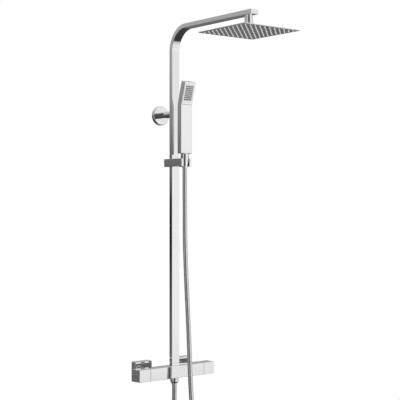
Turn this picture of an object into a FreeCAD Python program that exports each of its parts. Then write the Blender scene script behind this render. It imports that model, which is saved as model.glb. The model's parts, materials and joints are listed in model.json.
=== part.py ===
"""Rainfall shower column: a square thermostatic bar valve on two wall inlets, a rectangular riser
with an overhead arm and a square rain head, and a slider that holds a stick handset on a hose.

The origin is on the wall, midway between the two inlets, at the height of the bar's axis.
+X runs right along the wall, +Y into the wall and +Z up. Every size is in millimetres.
"""
import FreeCAD, Part
import math
import os
import re
import Sketcher

doc = FreeCAD.newDocument("shower_column")
sizes = doc.addObject("Spreadsheet::Sheet", "sizes")

DIMENSIONS = {
    # fits
    "fit": (0.15, "radial gap of a seated piece"),
    "play": (0.3, "gap beside a piece that moves"),
    # bar valve
    "wall_gap": (76, "wall to the axis of the bar and the riser"),
    "bar_side": (36, "side of the square bar"),
    "bar_length": (280, "bar over both handles"),
    "handle_length": (40, "each end handle"),
    "handle_wall": (2.5, "wall of a handle's hollow"),
    "handle_web": (16, "solid outer end of a handle"),
    "edge_round": (1, "rounding of the bar's and handles' edges"),
    "bore_radius": (13, "cartridge bore in each end of the bar"),
    "bore_depth": (55, "depth of a cartridge bore"),
    "passage_radius": (5, "water way between the cartridges"),
    "gland_length": (6, "nut that holds a cartridge in"),
    "stub_radius": (9, "cartridge neck inside the handle"),
    "stub_length": (9, "cartridge neck beyond the bar"),
    "spindle_radius": (4, "turning spindle of a cartridge"),
    "spindle_depth": (14, "spindle inside its cartridge"),
    "socket_depth": (9, "spindle inside its handle"),
    "ring_length": (4, "stop ring round a cartridge neck"),
    "ring_radius": (14, "outside of a stop ring"),
    "screw_radius": (2, "handle screw's shank"),
    "screw_head": (3.6, "handle screw's head radius"),
    "cap_radius": (5.5, "index cap in a handle's end"),
    "cap_depth": (2, "index cap's thickness"),
    # inlets
    "inlet_centres": (150, "distance between the two inlets"),
    "port_radius": (8, "inlet port in the back of the bar"),
    "check_length": (12, "check valve in the union"),
    "nut_radius": (15, "outside of an inlet nut"),
    "nut_length": (17, "inlet nut"),
    "filter_radius": (11, "filter washer and union flange"),
    "filter_thick": (2, "filter washer"),
    "flange_thick": (3, "union flange inside the nut"),
    "union_radius": (9.8, "union's barrel"),
    "union_bore": (6, "water way through a union"),
    "tail_radius": (10.48, "half-inch thread that goes into the wall"),
    "tail_length": (15, "thread beyond the wall's face"),
    "tail_front": (6, "thread in front of the wall's face"),
    "shroud_side": (60, "square wall plate"),
    "shroud_depth": (21.5, "wall plate, front to wall"),
    "shroud_wall": (2, "wall plate's skin"),
    # riser and arm
    "riser_width": (28, "riser and arm, across"),
    "riser_depth": (13.3, "riser front to back, and the arm's height"),
    "riser_wall": (1.5, "tube wall"),
    "riser_joint": (676, "height of the joint between the two tubes"),
    "arm_top": (1044, "top of the arm"),
    "bend_radius": (70, "bend on the tube's centre line"),
    "arm_overhang": (25.2, "rain head's centre to the arm's closed end"),
    "plug_face": (2, "plate that closes the arm"),
    "plug_tongue": (10, "tongue of that plate inside the arm"),
    "sleeve_length": (60, "sleeve inside the joint"),
    "sleeve_wall": (1, "sleeve's wall"),
    "foot_height": (22, "block inside the riser's foot"),
    "foot_radius": (4.5, "foot's threaded stub"),
    "foot_stub": (10, "stub's length in the bar"),
    "foot_bore": (3, "water way through the foot"),
    "seal_thick": (1, "seal under the foot"),
    # wall bracket
    "bracket_height": (779, "height of the wall bracket"),
    "cover_radius": (30, "round cover on the wall"),
    "cover_depth": (9, "cover, front to wall"),
    "cover_wall": (2, "cover's skin"),
    "base_radius": (24, "plate behind the cover"),
    "base_depth": (6, "plate's thickness"),
    "base_holes": (32, "distance between the plate's two screw holes"),
    "hole_radius": (2.6, "screw hole"),
    "stay_radius": (10, "round stay from the wall to the riser"),
    "collar_radius": (11.5, "collar where the stay meets the riser"),
    "collar_length": (5, "collar"),
    # rain head
    "head_side": (200, "square rain head"),
    "head_under": (984.5, "height of the head's underside"),
    "head_centre": (421.4, "wall to the head's centre"),
    "sheet_thick": (0.8, "each plate, and the mat between them"),
    "head_rim": (6, "width of the seal round the head's edge"),
    "nozzle_count": (11, "nozzles along each side of the head"),
    "nozzle_pitch": (17.3, "distance between nozzles"),
    "nozzle_radius": (2.2, "silicone nozzle"),
    "nozzle_stand": (1.6, "nozzle below the plate"),
    "boss_radius": (16, "boss on top of the head"),
    "boss_height": (9, "boss"),
    "ball_height": (24.1, "ball's centre above the head's top"),
    "ball_radius": (9.5, "swivel ball"),
    "stem_radius": (5, "stem between ball and head"),
    "stem_bore": (3, "water way through the ball"),
    "seat_thick": (0.9, "cup that the ball turns in"),
    "seat_low": (1.5, "cup's lower edge above the ball's centre"),
    "seat_high": (5.5, "cup's upper edge above the ball's centre"),
    "swivel_radius": (13, "outside of the swivel nut"),
    "swivel_bore": (11, "socket in the swivel nut"),
    "swivel_drop": (8, "ball's centre to the nut's lower face"),
    "swivel_lip": (8.4, "opening that the stem passes through"),
    "swivel_floor": (2.5, "thickness at that opening"),
    "washer_thick": (1.2, "washer above the ball"),
    "arm_spigot": (7.85, "arm outlet inside the arm's wall"),
    # slider
    "slider_height": (631.4, "middle of the slider at rest"),
    "slider_tall": (23.8, "slider, top to bottom"),
    "slider_width": (37, "slider, across"),
    "slider_back": (28, "riser axis to the slider's rear face"),
    "slider_front": (61, "riser axis to the slider's front face"),
    "bush_wall": (2, "plastic bush round the riser"),
    "holder_reach": (52, "riser axis to the handset's axis"),
    "holder_radius": (14, "bore for the holder's liner"),
    "liner_mouth": (8.5, "half of the opening in the liner's front"),
    "pinch_radius": (3, "screw that presses the bush on the riser"),
    # handset
    "handset_width": (42, "handset, across"),
    "handset_thick": (18, "handset, front to back"),
    "handset_foot": (657.6, "height of the handset's lower end"),
    "handset_bend": (802, "height of the bend in its front"),
    "spray_length": (70, "tilted part, along its front"),
    "spray_tilt": (16, "tilt of that part, in degrees"),
    "face_thick": (3, "front cover of the tilted part"),
    "face_inset": (3, "cover's edge inside the handset's sides"),
    "pad_width": (29, "nozzle pad, across"),
    "pad_length": (47, "nozzle pad, along the tilted part"),
    "pad_start": (13, "bend to the pad's lower edge"),
    "pad_flange": (1, "pad's flange behind the cover"),
    "water_way": (5, "radius of the channel up the handle"),
    "spigot_radius": (9.3, "threaded spigot"),
    "spigot_bore": (5, "its water way"),
    "spigot_inside": (12, "spigot inside the handset"),
    "spigot_length": (14.6, "spigot below the handset"),
    # hose and its ends
    "cone_top": (12.5, "cone nut's upper radius"),
    "cone_rim": (10, "straight part at the cone nut's top"),
    "cone_low": (9.6, "cone nut's lower radius"),
    "cone_length": (36.6, "cone nut"),
    "end_washer": (2, "washer at each end of the hose"),
    "end_flange": (2, "flange of each ferrule"),
    "end_bore": (4.5, "hole of those washers"),
    "ferrule_radius": (8.1, "ferrule round the hose's end"),
        "ferrule_upper": (27, "upper ferrule"),
    "ferrule_lower": (10, "lower ferrule"),
    "outlet_radius": (9.3, "thread under the bar"),
    "outlet_length": (10, "that thread below the bar"),
    "outlet_inside": (9, "nipple inside the bar"),
    "outlet_bore": (5, "nipple's water way"),
    "hose_nut_radius": (12.5, "hose nut under the bar"),
    "hose_nut_neck": (9.7, "hose nut's lower radius"),
    "hose_nut_gap": (1, "bar to the hose nut"),
    "hose_radius": (7, "hose"),
}

for row, (alias, (number, note)) in enumerate(DIMENSIONS.items(), 1):
    sizes.set(f"A{row}", note)
    sizes.set(f"B{row}", str(number))
    sizes.setAlias(f"B{row}", alias)
doc.recompute()

NOT_ALIASES = ("sin", "cos", "tan", "deg")
TURNS = {
    "up": ((0, 0, 1), 0), "down": ((1, 0, 0), 180), "in": ((1, 0, 0), -90),
    "out": ((1, 0, 0), 90), "right": ((0, 1, 0), 90), "left": ((0, 1, 0), -90),
}


# ---------------------------------------------------------------- helpers

def on_sheet(formula):
    """A formula in size names, as an expression on the sheet."""
    def name(word):
        return word[0] if word[0] in NOT_ALIASES else "sizes." + word[0]
    return re.sub(r"[a-z_]{2,}", name, str(formula))


def number_of(formula):
    """The value that a formula has now."""
    answer = sizes.evalExpression(on_sheet(formula))
    return float(getattr(answer, "Value", answer))


def bind(thing, **formulas):
    """Bind properties to the sheet."""
    for name, formula in formulas.items():
        thing.setExpression(name, on_sheet(formula))


def place(thing, at, facing="up"):
    """Turn a thing's +Z to face one way and bind its position."""
    axis, angle = TURNS[facing]
    turn = FreeCAD.Rotation(FreeCAD.Vector(*axis), angle)
    thing.Placement = FreeCAD.Placement(FreeCAD.Vector(0, 0, 0), turn)
    for letter, formula in zip("xyz", at):
        thing.setExpression("Placement.Base." + letter, on_sheet(formula))
    return thing


def box(name, low, size):
    """A block from its lowest corner and its three sizes."""
    thing = doc.addObject("Part::Box", name)
    bind(thing, Length=size[0], Width=size[1], Height=size[2])
    return place(thing, low)


def rod(name, at, facing, radius, length):
    """A cylinder that starts at a point and faces one way."""
    thing = doc.addObject("Part::Cylinder", name)
    bind(thing, Radius=radius, Height=length)
    return place(thing, at, facing)


def ball(name, at, radius):
    """A sphere about a point."""
    thing = doc.addObject("Part::Sphere", name)
    bind(thing, Radius=radius)
    return place(thing, at)


def join(name, *pieces, refine=True):
    """Several overlapping shapes made one."""
    thing = doc.addObject("Part::MultiFuse", name)
    thing.Shapes = list(pieces)
    thing.Refine = refine
    return thing


def group(name, pieces):
    """Like pieces kept as separate solids in one node."""
    thing = doc.addObject("Part::Compound", name)
    thing.Links = pieces
    return thing


def cut(name, base, *tools):
    """A shape with other shapes taken out of it."""
    thing = doc.addObject("Part::Cut", name)
    thing.Base = base
    thing.Tool = tools[0] if len(tools) == 1 else join(name + "_tools", *tools, refine=False)
    return thing


def rounded(name, base, radius, chosen):
    """A shape with the chosen edges rounded; the radius is limited by the piece's own wall."""
    doc.recompute()
    edges = enumerate(base.Shape.Edges, 1)
    size = number_of(radius)
    thing = doc.addObject("Part::Fillet", name)
    thing.Base = base
    thing.Edges = [(index, size, size) for index, edge in edges if chosen(edge)]
    return thing


def along(axis):
    """A test for straight edges that run along X, Y or Z (0, 1 or 2)."""
    def test(edge):
        if edge.Curve.TypeId != "Part::GeomLine":
            return False
        return abs(abs(edge.Curve.Direction[axis]) - 1) < 1e-6
    return test


def new_body(name):
    return doc.addObject("PartDesign::Body", name)


def new_sketch(body, name, plane):
    """An empty sketch on one of the body's own origin planes."""
    sketch = body.newObject("Sketcher::SketchObject", name)
    for feature in body.Origin.OriginFeatures:
        if feature.Role == plane:
            sketch.AttachmentSupport = (feature, [""])
    sketch.MapMode = "FlatFace"
    return sketch


def dimension(sketch, geometry, end, u, v):
    """Dimension a point of the sketch from its origin, both ways."""
    for kind, formula in (("DistanceX", u), ("DistanceY", v)):
        rule = Sketcher.Constraint(kind, -1, 1, geometry, end, number_of(formula))
        index = sketch.addConstraint(rule)
        sketch.setExpression(f"Constraints[{index}]", on_sheet(formula))


def draw_outline(sketch, corners):
    """A closed outline whose corners are dimensioned from the origin."""
    points = [FreeCAD.Vector(number_of(u), number_of(v), 0) for u, v in corners]
    first = len(sketch.Geometry)
    count = len(points)
    for index, point in enumerate(points):
        after = points[(index + 1) % count]
        sketch.addGeometry(Part.LineSegment(point, after), False)
    for index in range(count):
        after = (index + 1) % count
        sketch.addConstraint(Sketcher.Constraint("Coincident", first + index, 2, first + after, 1))
    for index, (u, v) in enumerate(corners):
        dimension(sketch, first + index, 1, u, v)


def draw_circle(sketch, u, v, radius):
    """A circle dimensioned from the origin."""
    centre = FreeCAD.Vector(number_of(u), number_of(v), 0)
    upright = FreeCAD.Vector(0, 0, 1)
    index = sketch.addGeometry(Part.Circle(centre, upright, number_of(radius)), False)
    dimension(sketch, index, 3, u, v)
    rule = sketch.addConstraint(Sketcher.Constraint("Radius", index, number_of(radius)))
    sketch.setExpression(f"Constraints[{rule}]", on_sheet(radius))


def rectangle(width, depth):
    """Corners of a rectangle about the origin."""
    u, v = f"({width}) / 2", f"({depth}) / 2"
    return [(f"-{u}", f"-{v}"), (u, f"-{v}"), (u, v), (f"-{u}", v)]


def turned(name, at, facing, profile):
    """A turned piece: a profile of (radius, distance) corners spun about its own axis."""
    body = new_body(name)
    sketch = new_sketch(body, name + "_profile", "XZ_Plane")
    draw_outline(sketch, profile)
    turn = body.newObject("PartDesign::Revolution", name + "_turn")
    turn.Profile = sketch
    turn.ReferenceAxis = (sketch, ["V_Axis"])
    turn.Angle = 360
    sketch.Visibility = False
    return place(body, at, facing)


def ring(name, at, facing, outer, inner, length):
    """A plain ring or washer."""
    return turned(name, at, facing, [(inner, 0), (outer, 0), (outer, length), (inner, length)])


def padded(name, at, plane, outlines, length, circles=()):
    """A sketch of outlines and circles, padded: along +Z, or along +X from the YZ plane."""
    body = new_body(name)
    sketch = new_sketch(body, name + "_sketch", plane)
    for corners in outlines:
        draw_outline(sketch, corners)
    for circle in circles:
        draw_circle(sketch, *circle)
    pad = body.newObject("PartDesign::Pad", name + "_pad")
    pad.Profile = sketch
    bind(pad, Length=length)
    return place(body, at)


parts = []


def keep(thing, name):
    """Name a finished piece, which gives its file its name."""
    thing.Label = name
    parts.append(thing)
    return thing


# ---------------------------------------------------------------- bar valve

BODY_HALF = "(bar_length / 2 - handle_length)"
BAR_BACK = "(-wall_gap + bar_side / 2)"


def make_valve_body():
    """The square bar: a bore in each end, two ports behind, one above and one below."""
    block = box("valve_block", (f"-{BODY_HALF}", "-wall_gap - bar_side / 2", "-bar_side / 2"),
                (f"2 * {BODY_HALF}", "bar_side", "bar_side"))
    block = rounded("valve_block_rounded", block, "edge_round", along(0))
    tools = [rod("valve_passage", (f"-{BODY_HALF}", "-wall_gap", 0), "right", "passage_radius",
                 f"2 * {BODY_HALF}")]
    for side, sign in (("left", -1), ("right", 1)):
        start = f"{sign} * {BODY_HALF}"
        back = "left" if sign > 0 else "right"
        tools.append(rod("valve_bore_" + side, (start, "-wall_gap", 0), back, "bore_radius", "bore_depth"))
        tools.append(rod("valve_port_" + side, (f"{sign} * inlet_centres / 2", BAR_BACK, 0), "out",
                         "port_radius", "bar_side / 2"))
    tools.append(rod("valve_top_port", (0, "-wall_gap", "bar_side / 2"), "down", "foot_radius + fit",
                     "bar_side / 2"))
    tools.append(rod("valve_low_port", (0, "-wall_gap", "-bar_side / 2"), "up", "outlet_radius + fit",
                     "outlet_inside"))
    keep(cut("valve_body_cut", block, *tools), "valve_body")


def make_valve_end(use, sign):
    """A cartridge in one end of the bar, and the handle that turns it."""
    facing = "right" if sign > 0 else "left"
    cross = "-wall_gap"

    def x(distance):
        return f"{sign} * ({distance})"

    port = f"{sign} * inlet_centres / 2"
    bottom = f"{BODY_HALF} - bore_depth"
    cartridge = turned(use + "_cartridge_turned", (x(bottom), cross, 0), facing, [
        ("passage_radius", 0), ("bore_radius - fit", 0), ("bore_radius - fit", "bore_depth - gland_length"),
        ("stub_radius", "bore_depth - gland_length"), ("stub_radius", "bore_depth + stub_length"),
        ("spindle_radius + fit", "bore_depth + stub_length"),
        ("spindle_radius + fit", "bore_depth - spindle_depth"),
        ("passage_radius", "bore_depth - spindle_depth - 1"),
    ])
    window = rod(use + "_cartridge_window", (port, BAR_BACK, 0), "out", "port_radius - 1", "bar_side / 2")
    keep(cut(use + "_cartridge_cut", cartridge, window), use + "_cartridge")
    keep(ring(use + "_gland_nut", (x(f"{BODY_HALF} - gland_length"), cross, 0), facing,
              "bore_radius - fit", "stub_radius + fit", "gland_length"), use + "_gland_nut")
    keep(ring(use + "_stop_ring", (x(BODY_HALF), cross, 0), facing, "ring_radius", "stub_radius + fit",
              "ring_length"), use + "_stop_ring")

    web = "(bar_length / 2 - handle_web)"
    low = f"{BODY_HALF} + play" if sign > 0 else "bar_length / 2"
    block = box(use + "_handle_block", (x(low), "-wall_gap - bar_side / 2", "-bar_side / 2"),
                ("handle_length - play", "bar_side", "bar_side"))
    block = rounded(use + "_handle_rounded", block, "edge_round", lambda edge: True)
    hollow = rod(use + "_handle_hollow", (x(BODY_HALF), cross, 0), facing,
                 "bar_side / 2 - handle_wall", f"{web} - {BODY_HALF}")
    socket = rod(use + "_handle_socket", (x(web), cross, 0), facing, "spindle_radius + fit", "socket_depth")
    hole = rod(use + "_handle_hole", (x(web), cross, 0), facing, "screw_radius + fit", "handle_web")
    recess = rod(use + "_handle_recess", (x("bar_length / 2"), cross, 0),
                 "left" if sign > 0 else "right", "cap_radius + fit", "cap_depth + 2")
    keep(cut(use + "_handle_cut", block, hollow, socket, hole, recess), use + "_handle")

    spindle_start = f"({BODY_HALF} - spindle_depth + 1)"
    spindle = rod(use + "_spindle_rod", (x(spindle_start), cross, 0), facing, "spindle_radius",
                  f"{web} + socket_depth - {spindle_start}")
    thread = rod(use + "_spindle_thread", (x(f"{web} + socket_depth"), cross, 0),
                 "left" if sign > 0 else "right", "screw_radius + fit", "socket_depth")
    keep(cut(use + "_spindle_cut", spindle, thread), use + "_spindle")
    head_face = "bar_length / 2 - cap_depth - 2"
    shank = rod(use + "_screw_shank", (x(head_face), cross, 0), "left" if sign > 0 else "right",
                "screw_radius", f"{head_face} - {web} - 1")
    head = rod(use + "_screw_head", (x(head_face), cross, 0), facing, "screw_head", 1.8)
    keep(join(use + "_screw_joined", shank, head), use + "_screw")
    keep(rod(use + "_cap_disc", (x("bar_length / 2"), cross, 0), "left" if sign > 0 else "right",
             "cap_radius", "cap_depth"), use + "_cap")


def make_inlet(side, sign):
    """One inlet: union nut, union with its wall thread, and wall plate.

    Its check valve and its filter washer are returned, for the two groups of them.
    """
    across = f"{sign} * inlet_centres / 2"
    check = ring("check_valve_" + side, (across, f"{BAR_BACK} + filter_thick", 0), "in",
                 "union_bore - fit", "union_bore / 2", "check_length")
    washer = ring("inlet_filter_" + side, (across, BAR_BACK, 0), "in", "filter_radius",
                  "port_radius / 2", "filter_thick")
    seat = "(filter_thick + flange_thick)"
    keep(turned("inlet_nut_" + side, (across, BAR_BACK, 0), "in", [
        ("filter_radius + fit", 0), ("nut_radius - 1", 0), ("nut_radius", 1),
        ("nut_radius", "nut_length - 1"), ("nut_radius - 1", "nut_length"),
        ("union_radius + fit", "nut_length"), ("union_radius + fit", seat), ("filter_radius + fit", seat),
    ]), "inlet_nut_" + side)
    to_wall = "(wall_gap - bar_side / 2 - filter_thick)"
    keep(turned("inlet_union_" + side, (across, f"{BAR_BACK} + filter_thick", 0), "in", [
        ("union_bore", 0), ("filter_radius", 0), ("filter_radius", "flange_thick"),
        ("union_radius", "flange_thick"), ("union_radius", f"{to_wall} - tail_front"),
        ("tail_radius", f"{to_wall} - tail_front"), ("tail_radius", f"{to_wall} + tail_length"),
        ("union_bore", f"{to_wall} + tail_length"),
    ]), "inlet_union_" + side)
    plate = box("shroud_block_" + side,
                (f"{across} - shroud_side / 2", "-shroud_depth", "-shroud_side / 2"),
                ("shroud_side", "shroud_depth", "shroud_side"))
    plate = rounded("shroud_rounded_" + side, plate, "edge_round",
                    lambda edge: edge.BoundBox.YMax < -number_of("edge_round") or along(1)(edge))
    inner = "(shroud_side - 2 * shroud_wall)"
    hollow = box("shroud_hollow_" + side,
                 (f"{across} - {inner} / 2", "-shroud_depth + shroud_wall", f"-{inner} / 2"),
                 (inner, "shroud_depth", inner))
    hole = rod("shroud_hole_" + side, (across, "-shroud_depth", 0), "in", "tail_radius + fit",
               "shroud_depth")
    keep(cut("shroud_cut_" + side, plate, hollow, hole), "wall_shroud_" + side)
    return check, washer


# ---------------------------------------------------------------- riser, arm and wall bracket

TUBE_INNER = ("riser_width - 2 * riser_wall", "riser_depth - 2 * riser_wall")
SNUG = ("riser_width - 2 * riser_wall - 2 * fit", "riser_depth - 2 * riser_wall - 2 * fit")
ARM_LOW = "(arm_top - riser_depth)"
ARM_END = "(head_centre + arm_overhang)"


def make_riser():
    """Two rectangular tubes joined by a sleeve; the upper one bends forward into the arm."""
    keep(padded("riser_foot_seal", (0, "-wall_gap", "bar_side / 2"), "XY_Plane", [rectangle(*SNUG)],
                "seal_thick", [(0, 0, "foot_radius + fit")]), "riser_foot_seal")
    block = box("riser_foot_block",
                (f"-({SNUG[0]}) / 2", f"-wall_gap - ({SNUG[1]}) / 2", "bar_side / 2 + seal_thick"),
                (*SNUG, "foot_height"))
    stub = rod("riser_foot_stub", (0, "-wall_gap", "bar_side / 2 + seal_thick"), "down", "foot_radius",
               "seal_thick + foot_stub")
    way = rod("riser_foot_way", (0, "-wall_gap", "bar_side / 2 - foot_stub"), "up", "foot_bore",
              "foot_stub + seal_thick + foot_height")
    keep(cut("riser_foot_cut", join("riser_foot_joined", block, stub), way), "riser_foot")
    outlines = [rectangle("riser_width", "riser_depth"), rectangle(*TUBE_INNER)]
    keep(padded("riser_lower", (0, "-wall_gap", "bar_side / 2"), "XY_Plane", outlines,
                "riser_joint - bar_side / 2"), "riser_lower")
    sleeve_bore = [f"{side} - 2 * sleeve_wall" for side in SNUG]
    keep(padded("riser_sleeve", (0, "-wall_gap", "riser_joint - sleeve_length / 2"), "XY_Plane",
                [rectangle(*SNUG), rectangle(*sleeve_bore)], "sleeve_length"), "riser_sleeve")

    body = new_body("riser_upper_tube")
    section = new_sketch(body, "riser_upper_section", "XY_Plane")
    for corners in outlines:
        draw_outline(section, corners)
    spine = new_sketch(body, "riser_upper_spine", "YZ_Plane")
    straight = "(arm_top - riser_depth / 2 - riser_joint - bend_radius)"
    reach = f"({ARM_END} - plug_face - wall_gap)"
    top = f"({straight} + bend_radius)"
    corners = [("0", "0"), ("0", straight), ("-bend_radius", top), (f"-{reach}", top)]
    points = [FreeCAD.Vector(number_of(u), number_of(v), 0) for u, v in corners]
    radius = number_of("bend_radius")
    middle = FreeCAD.Vector(radius * (math.cos(math.pi / 4) - 1),
                            number_of(straight) + radius * math.sin(math.pi / 4), 0)
    spine.addGeometry(Part.LineSegment(points[0], points[1]), False)
    spine.addGeometry(Part.Arc(points[1], middle, points[2]), False)
    spine.addGeometry(Part.LineSegment(points[2], points[3]), False)
    spine.addConstraint(Sketcher.Constraint("Coincident", 0, 2, 1, 1))
    spine.addConstraint(Sketcher.Constraint("Coincident", 1, 2, 2, 1))
    for geometry, end, corner in ((0, 1, 0), (0, 2, 1), (2, 1, 2), (2, 2, 3)):
        dimension(spine, geometry, end, *corners[corner])
    rule = spine.addConstraint(Sketcher.Constraint("Radius", 1, radius))
    spine.setExpression(f"Constraints[{rule}]", on_sheet("bend_radius"))
    pipe = body.newObject("PartDesign::AdditivePipe", "riser_upper_pipe")
    pipe.Profile = section
    pipe.Spine = spine
    place(body, (0, "-wall_gap", "riser_joint"))
    hole = rod("arm_outlet_hole", (0, "-head_centre", ARM_LOW), "up", "arm_spigot + fit", "riser_wall")
    keep(cut("riser_upper_cut", body, hole), "riser_upper")

    plate = box("arm_plug_plate", ("-riser_width / 2", f"-{ARM_END}", ARM_LOW),
                ("riser_width", "plug_face", "riser_depth"))
    tongue = box("arm_plug_tongue",
                 (f"-({SNUG[0]}) / 2", f"-{ARM_END}", f"{ARM_LOW} + riser_wall + fit"),
                 (SNUG[0], "plug_face + plug_tongue", SNUG[1]))
    keep(join("arm_plug_joined", plate, tongue), "arm_end_plug")


def make_bracket():
    """The round wall bracket: plate, cover, and the stay that holds the riser."""
    at_wall = (0, 0, "bracket_height")
    base = rod("bracket_base_disc", at_wall, "out", "base_radius", "base_depth")
    tools = [rod("bracket_base_bore", at_wall, "out", "stay_radius + fit", "base_depth")]
    for side, sign in (("low", -1), ("high", 1)):
        tools.append(rod("bracket_hole_" + side, (0, 0, f"bracket_height + {sign} * base_holes / 2"),
                         "out", "hole_radius", "base_depth"))
    keep(cut("bracket_base_cut", base, *tools), "bracket_base")
    keep(turned("bracket_cover", at_wall, "out", [
        ("cover_radius - cover_wall", 0), ("cover_radius", 0), ("cover_radius", "cover_depth - 2"),
        ("cover_radius - 2", "cover_depth"), ("stay_radius + fit", "cover_depth"),
        ("stay_radius + fit", "cover_depth - cover_wall"),
        ("cover_radius - cover_wall - 1", "cover_depth - cover_wall"),
        ("cover_radius - cover_wall", "cover_depth - cover_wall - 1"),
    ]), "bracket_cover")
    to_riser = "(wall_gap - riser_depth / 2)"
    keep(rod("bracket_stay_rod", at_wall, "out", "stay_radius", to_riser), "bracket_stay")
    keep(ring("bracket_collar", (0, f"-{to_riser}", "bracket_height"), "in", "collar_radius",
              "stay_radius + fit", "collar_length"), "bracket_collar")


# ---------------------------------------------------------------- rain head

HEAD_TOP = "(head_under + 3 * sheet_thick)"
BALL_AT = (0, "-head_centre", f"({HEAD_TOP} + ball_height)")


def nozzle_places():
    """Centres of the head's nozzles, from the middle of the head."""
    count = int(number_of("nozzle_count"))
    pitch = number_of("nozzle_pitch")
    steps = [(index - (count - 1) / 2) * pitch for index in range(count)]
    return [(u, v) for u in steps for v in steps]


def make_head():
    """The square head: two thin plates with a nozzle mat sealed between them."""
    side = number_of("head_side")
    thick = number_of("sheet_thick")
    radius = number_of("nozzle_radius")
    gap = number_of("fit")
    under = number_of("head_under")
    centre = FreeCAD.Vector(0, -number_of("head_centre"), 0)
    upright = FreeCAD.Vector(0, 0, 1)

    def plate_with_circles(width, circle, height):
        """A square plate, less its circles, from the plate's lower face at that height."""
        corner = centre + FreeCAD.Vector(-width / 2, -width / 2, height)
        square = Part.makePlane(width, width, corner, upright)
        rings = []
        for u, v in nozzle_places():
            at = centre + FreeCAD.Vector(u, v, height)
            rings.append(Part.Wire(Part.Circle(at, upright, circle).toShape()))
        return Part.Face([square.OuterWire] + rings, "Part::FaceMakerBullseye")

    plate = doc.addObject("Part::Feature", "nozzle_plate_shape")
    plate.Shape = plate_with_circles(side, radius + gap, under).extrude(upright * thick)
    keep(plate, "nozzle_plate")
    inside = side - 2 * number_of("head_rim") - 2 * gap
    corner = centre + FreeCAD.Vector(-inside / 2, -inside / 2, under + thick)
    mat_shape = Part.makeBox(inside, inside, thick, corner)
    stand = number_of("nozzle_stand")
    studs = []
    for u, v in nozzle_places():
        at = centre + FreeCAD.Vector(u, v, under - stand)
        studs.append(Part.makeCylinder(radius, stand + thick, at, upright))
    mat = doc.addObject("Part::Feature", "nozzle_mat_shape")
    mat.Shape = mat_shape.fuse(studs).removeSplitter().Solids[0]
    keep(mat, "nozzle_mat")
    level = (0, "-head_centre", "head_under + sheet_thick")
    frame = [rectangle("head_side", "head_side"),
             rectangle("head_side - 2 * head_rim", "head_side - 2 * head_rim")]
    keep(padded("head_gasket", level, "XY_Plane", frame, "sheet_thick"), "head_gasket")
    keep(padded("head_top_plate", (0, "-head_centre", "head_under + 2 * sheet_thick"), "XY_Plane",
                [rectangle("head_side", "head_side")], "sheet_thick", [(0, 0, "stem_bore")]),
         "head_top_plate")


def make_swivel():
    """The ball swivel between the arm and the head."""
    centre_y, centre_z = BALL_AT[1], BALL_AT[2]
    keep(turned("head_boss", (0, centre_y, HEAD_TOP), "up", [
        ("stem_radius + fit", 0), ("boss_radius", 0), ("boss_radius", "boss_height / 2"),
        ("boss_radius * 0.6", "boss_height"), ("stem_radius + fit", "boss_height"),
    ]), "head_boss")
    sphere = ball("swivel_sphere", BALL_AT, "ball_radius")
    stem = rod("swivel_stem", BALL_AT, "down", "stem_radius", "ball_height")
    way = rod("swivel_way", (0, centre_y, HEAD_TOP), "up", "stem_bore", "ball_height + ball_radius")
    keep(cut("swivel_ball_cut", join("swivel_ball_joined", sphere, stem), way), "swivel_ball")
    shell = cut("ball_seat_shell", ball("ball_seat_outer", BALL_AT, "ball_radius + play + seat_thick"),
                ball("ball_seat_inner", BALL_AT, "ball_radius + play"))
    slab = rod("ball_seat_slab", (0, centre_y, f"{centre_z} + seat_low"), "up", "2 * ball_radius",
               "seat_high - seat_low")
    seat = doc.addObject("Part::Common", "ball_seat_zone")
    seat.Base = shell
    seat.Tool = slab
    keep(seat, "ball_seat")
    washer_low = f"({centre_z} + ball_radius + play)"
    keep(ring("swivel_washer", (0, centre_y, washer_low), "up", "swivel_bore - fit", "stem_bore + 3",
              "washer_thick"), "swivel_washer")
    thread = f"({ARM_LOW} - {washer_low} - washer_thick)"
    keep(turned("arm_outlet", (0, centre_y, ARM_LOW), "down", [
        ("stem_bore", "-riser_wall - 1"), ("stem_bore", thread), ("union_radius", thread),
        ("union_radius", 0), ("arm_spigot", 0), ("arm_spigot", "-riser_wall - 1"),
    ]), "arm_outlet")
    deep = f"({ARM_LOW} - {centre_z})"
    keep(turned("swivel_nut", (0, centre_y, f"{centre_z} - swivel_drop"), "up", [
        ("swivel_lip", 0), ("swivel_radius - 2", 0), ("swivel_radius", 2),
        ("swivel_radius", f"swivel_drop + {deep} - play"),
        ("union_radius + fit", f"swivel_drop + {deep} - play"),
        ("union_radius + fit", "swivel_drop + ball_radius + play + washer_thick"),
        ("swivel_bore", "swivel_drop + ball_radius + play + washer_thick"),
        ("swivel_bore", "swivel_floor"), ("swivel_lip", "swivel_floor"),
    ]), "swivel_nut")


# ---------------------------------------------------------------- slider

SLIDER_LOW = "(slider_height - slider_tall / 2)"
HANDSET_Y = "(-wall_gap - holder_reach)"
CONE_FOOT = "(handset_foot - cone_length)"


def cone_radius(height):
    """The cone nut's radius at a height above its foot."""
    taper = "(cone_length - cone_rim)"
    return f"(cone_low + (cone_top - cone_low) * ({height}) / {taper})"


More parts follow.
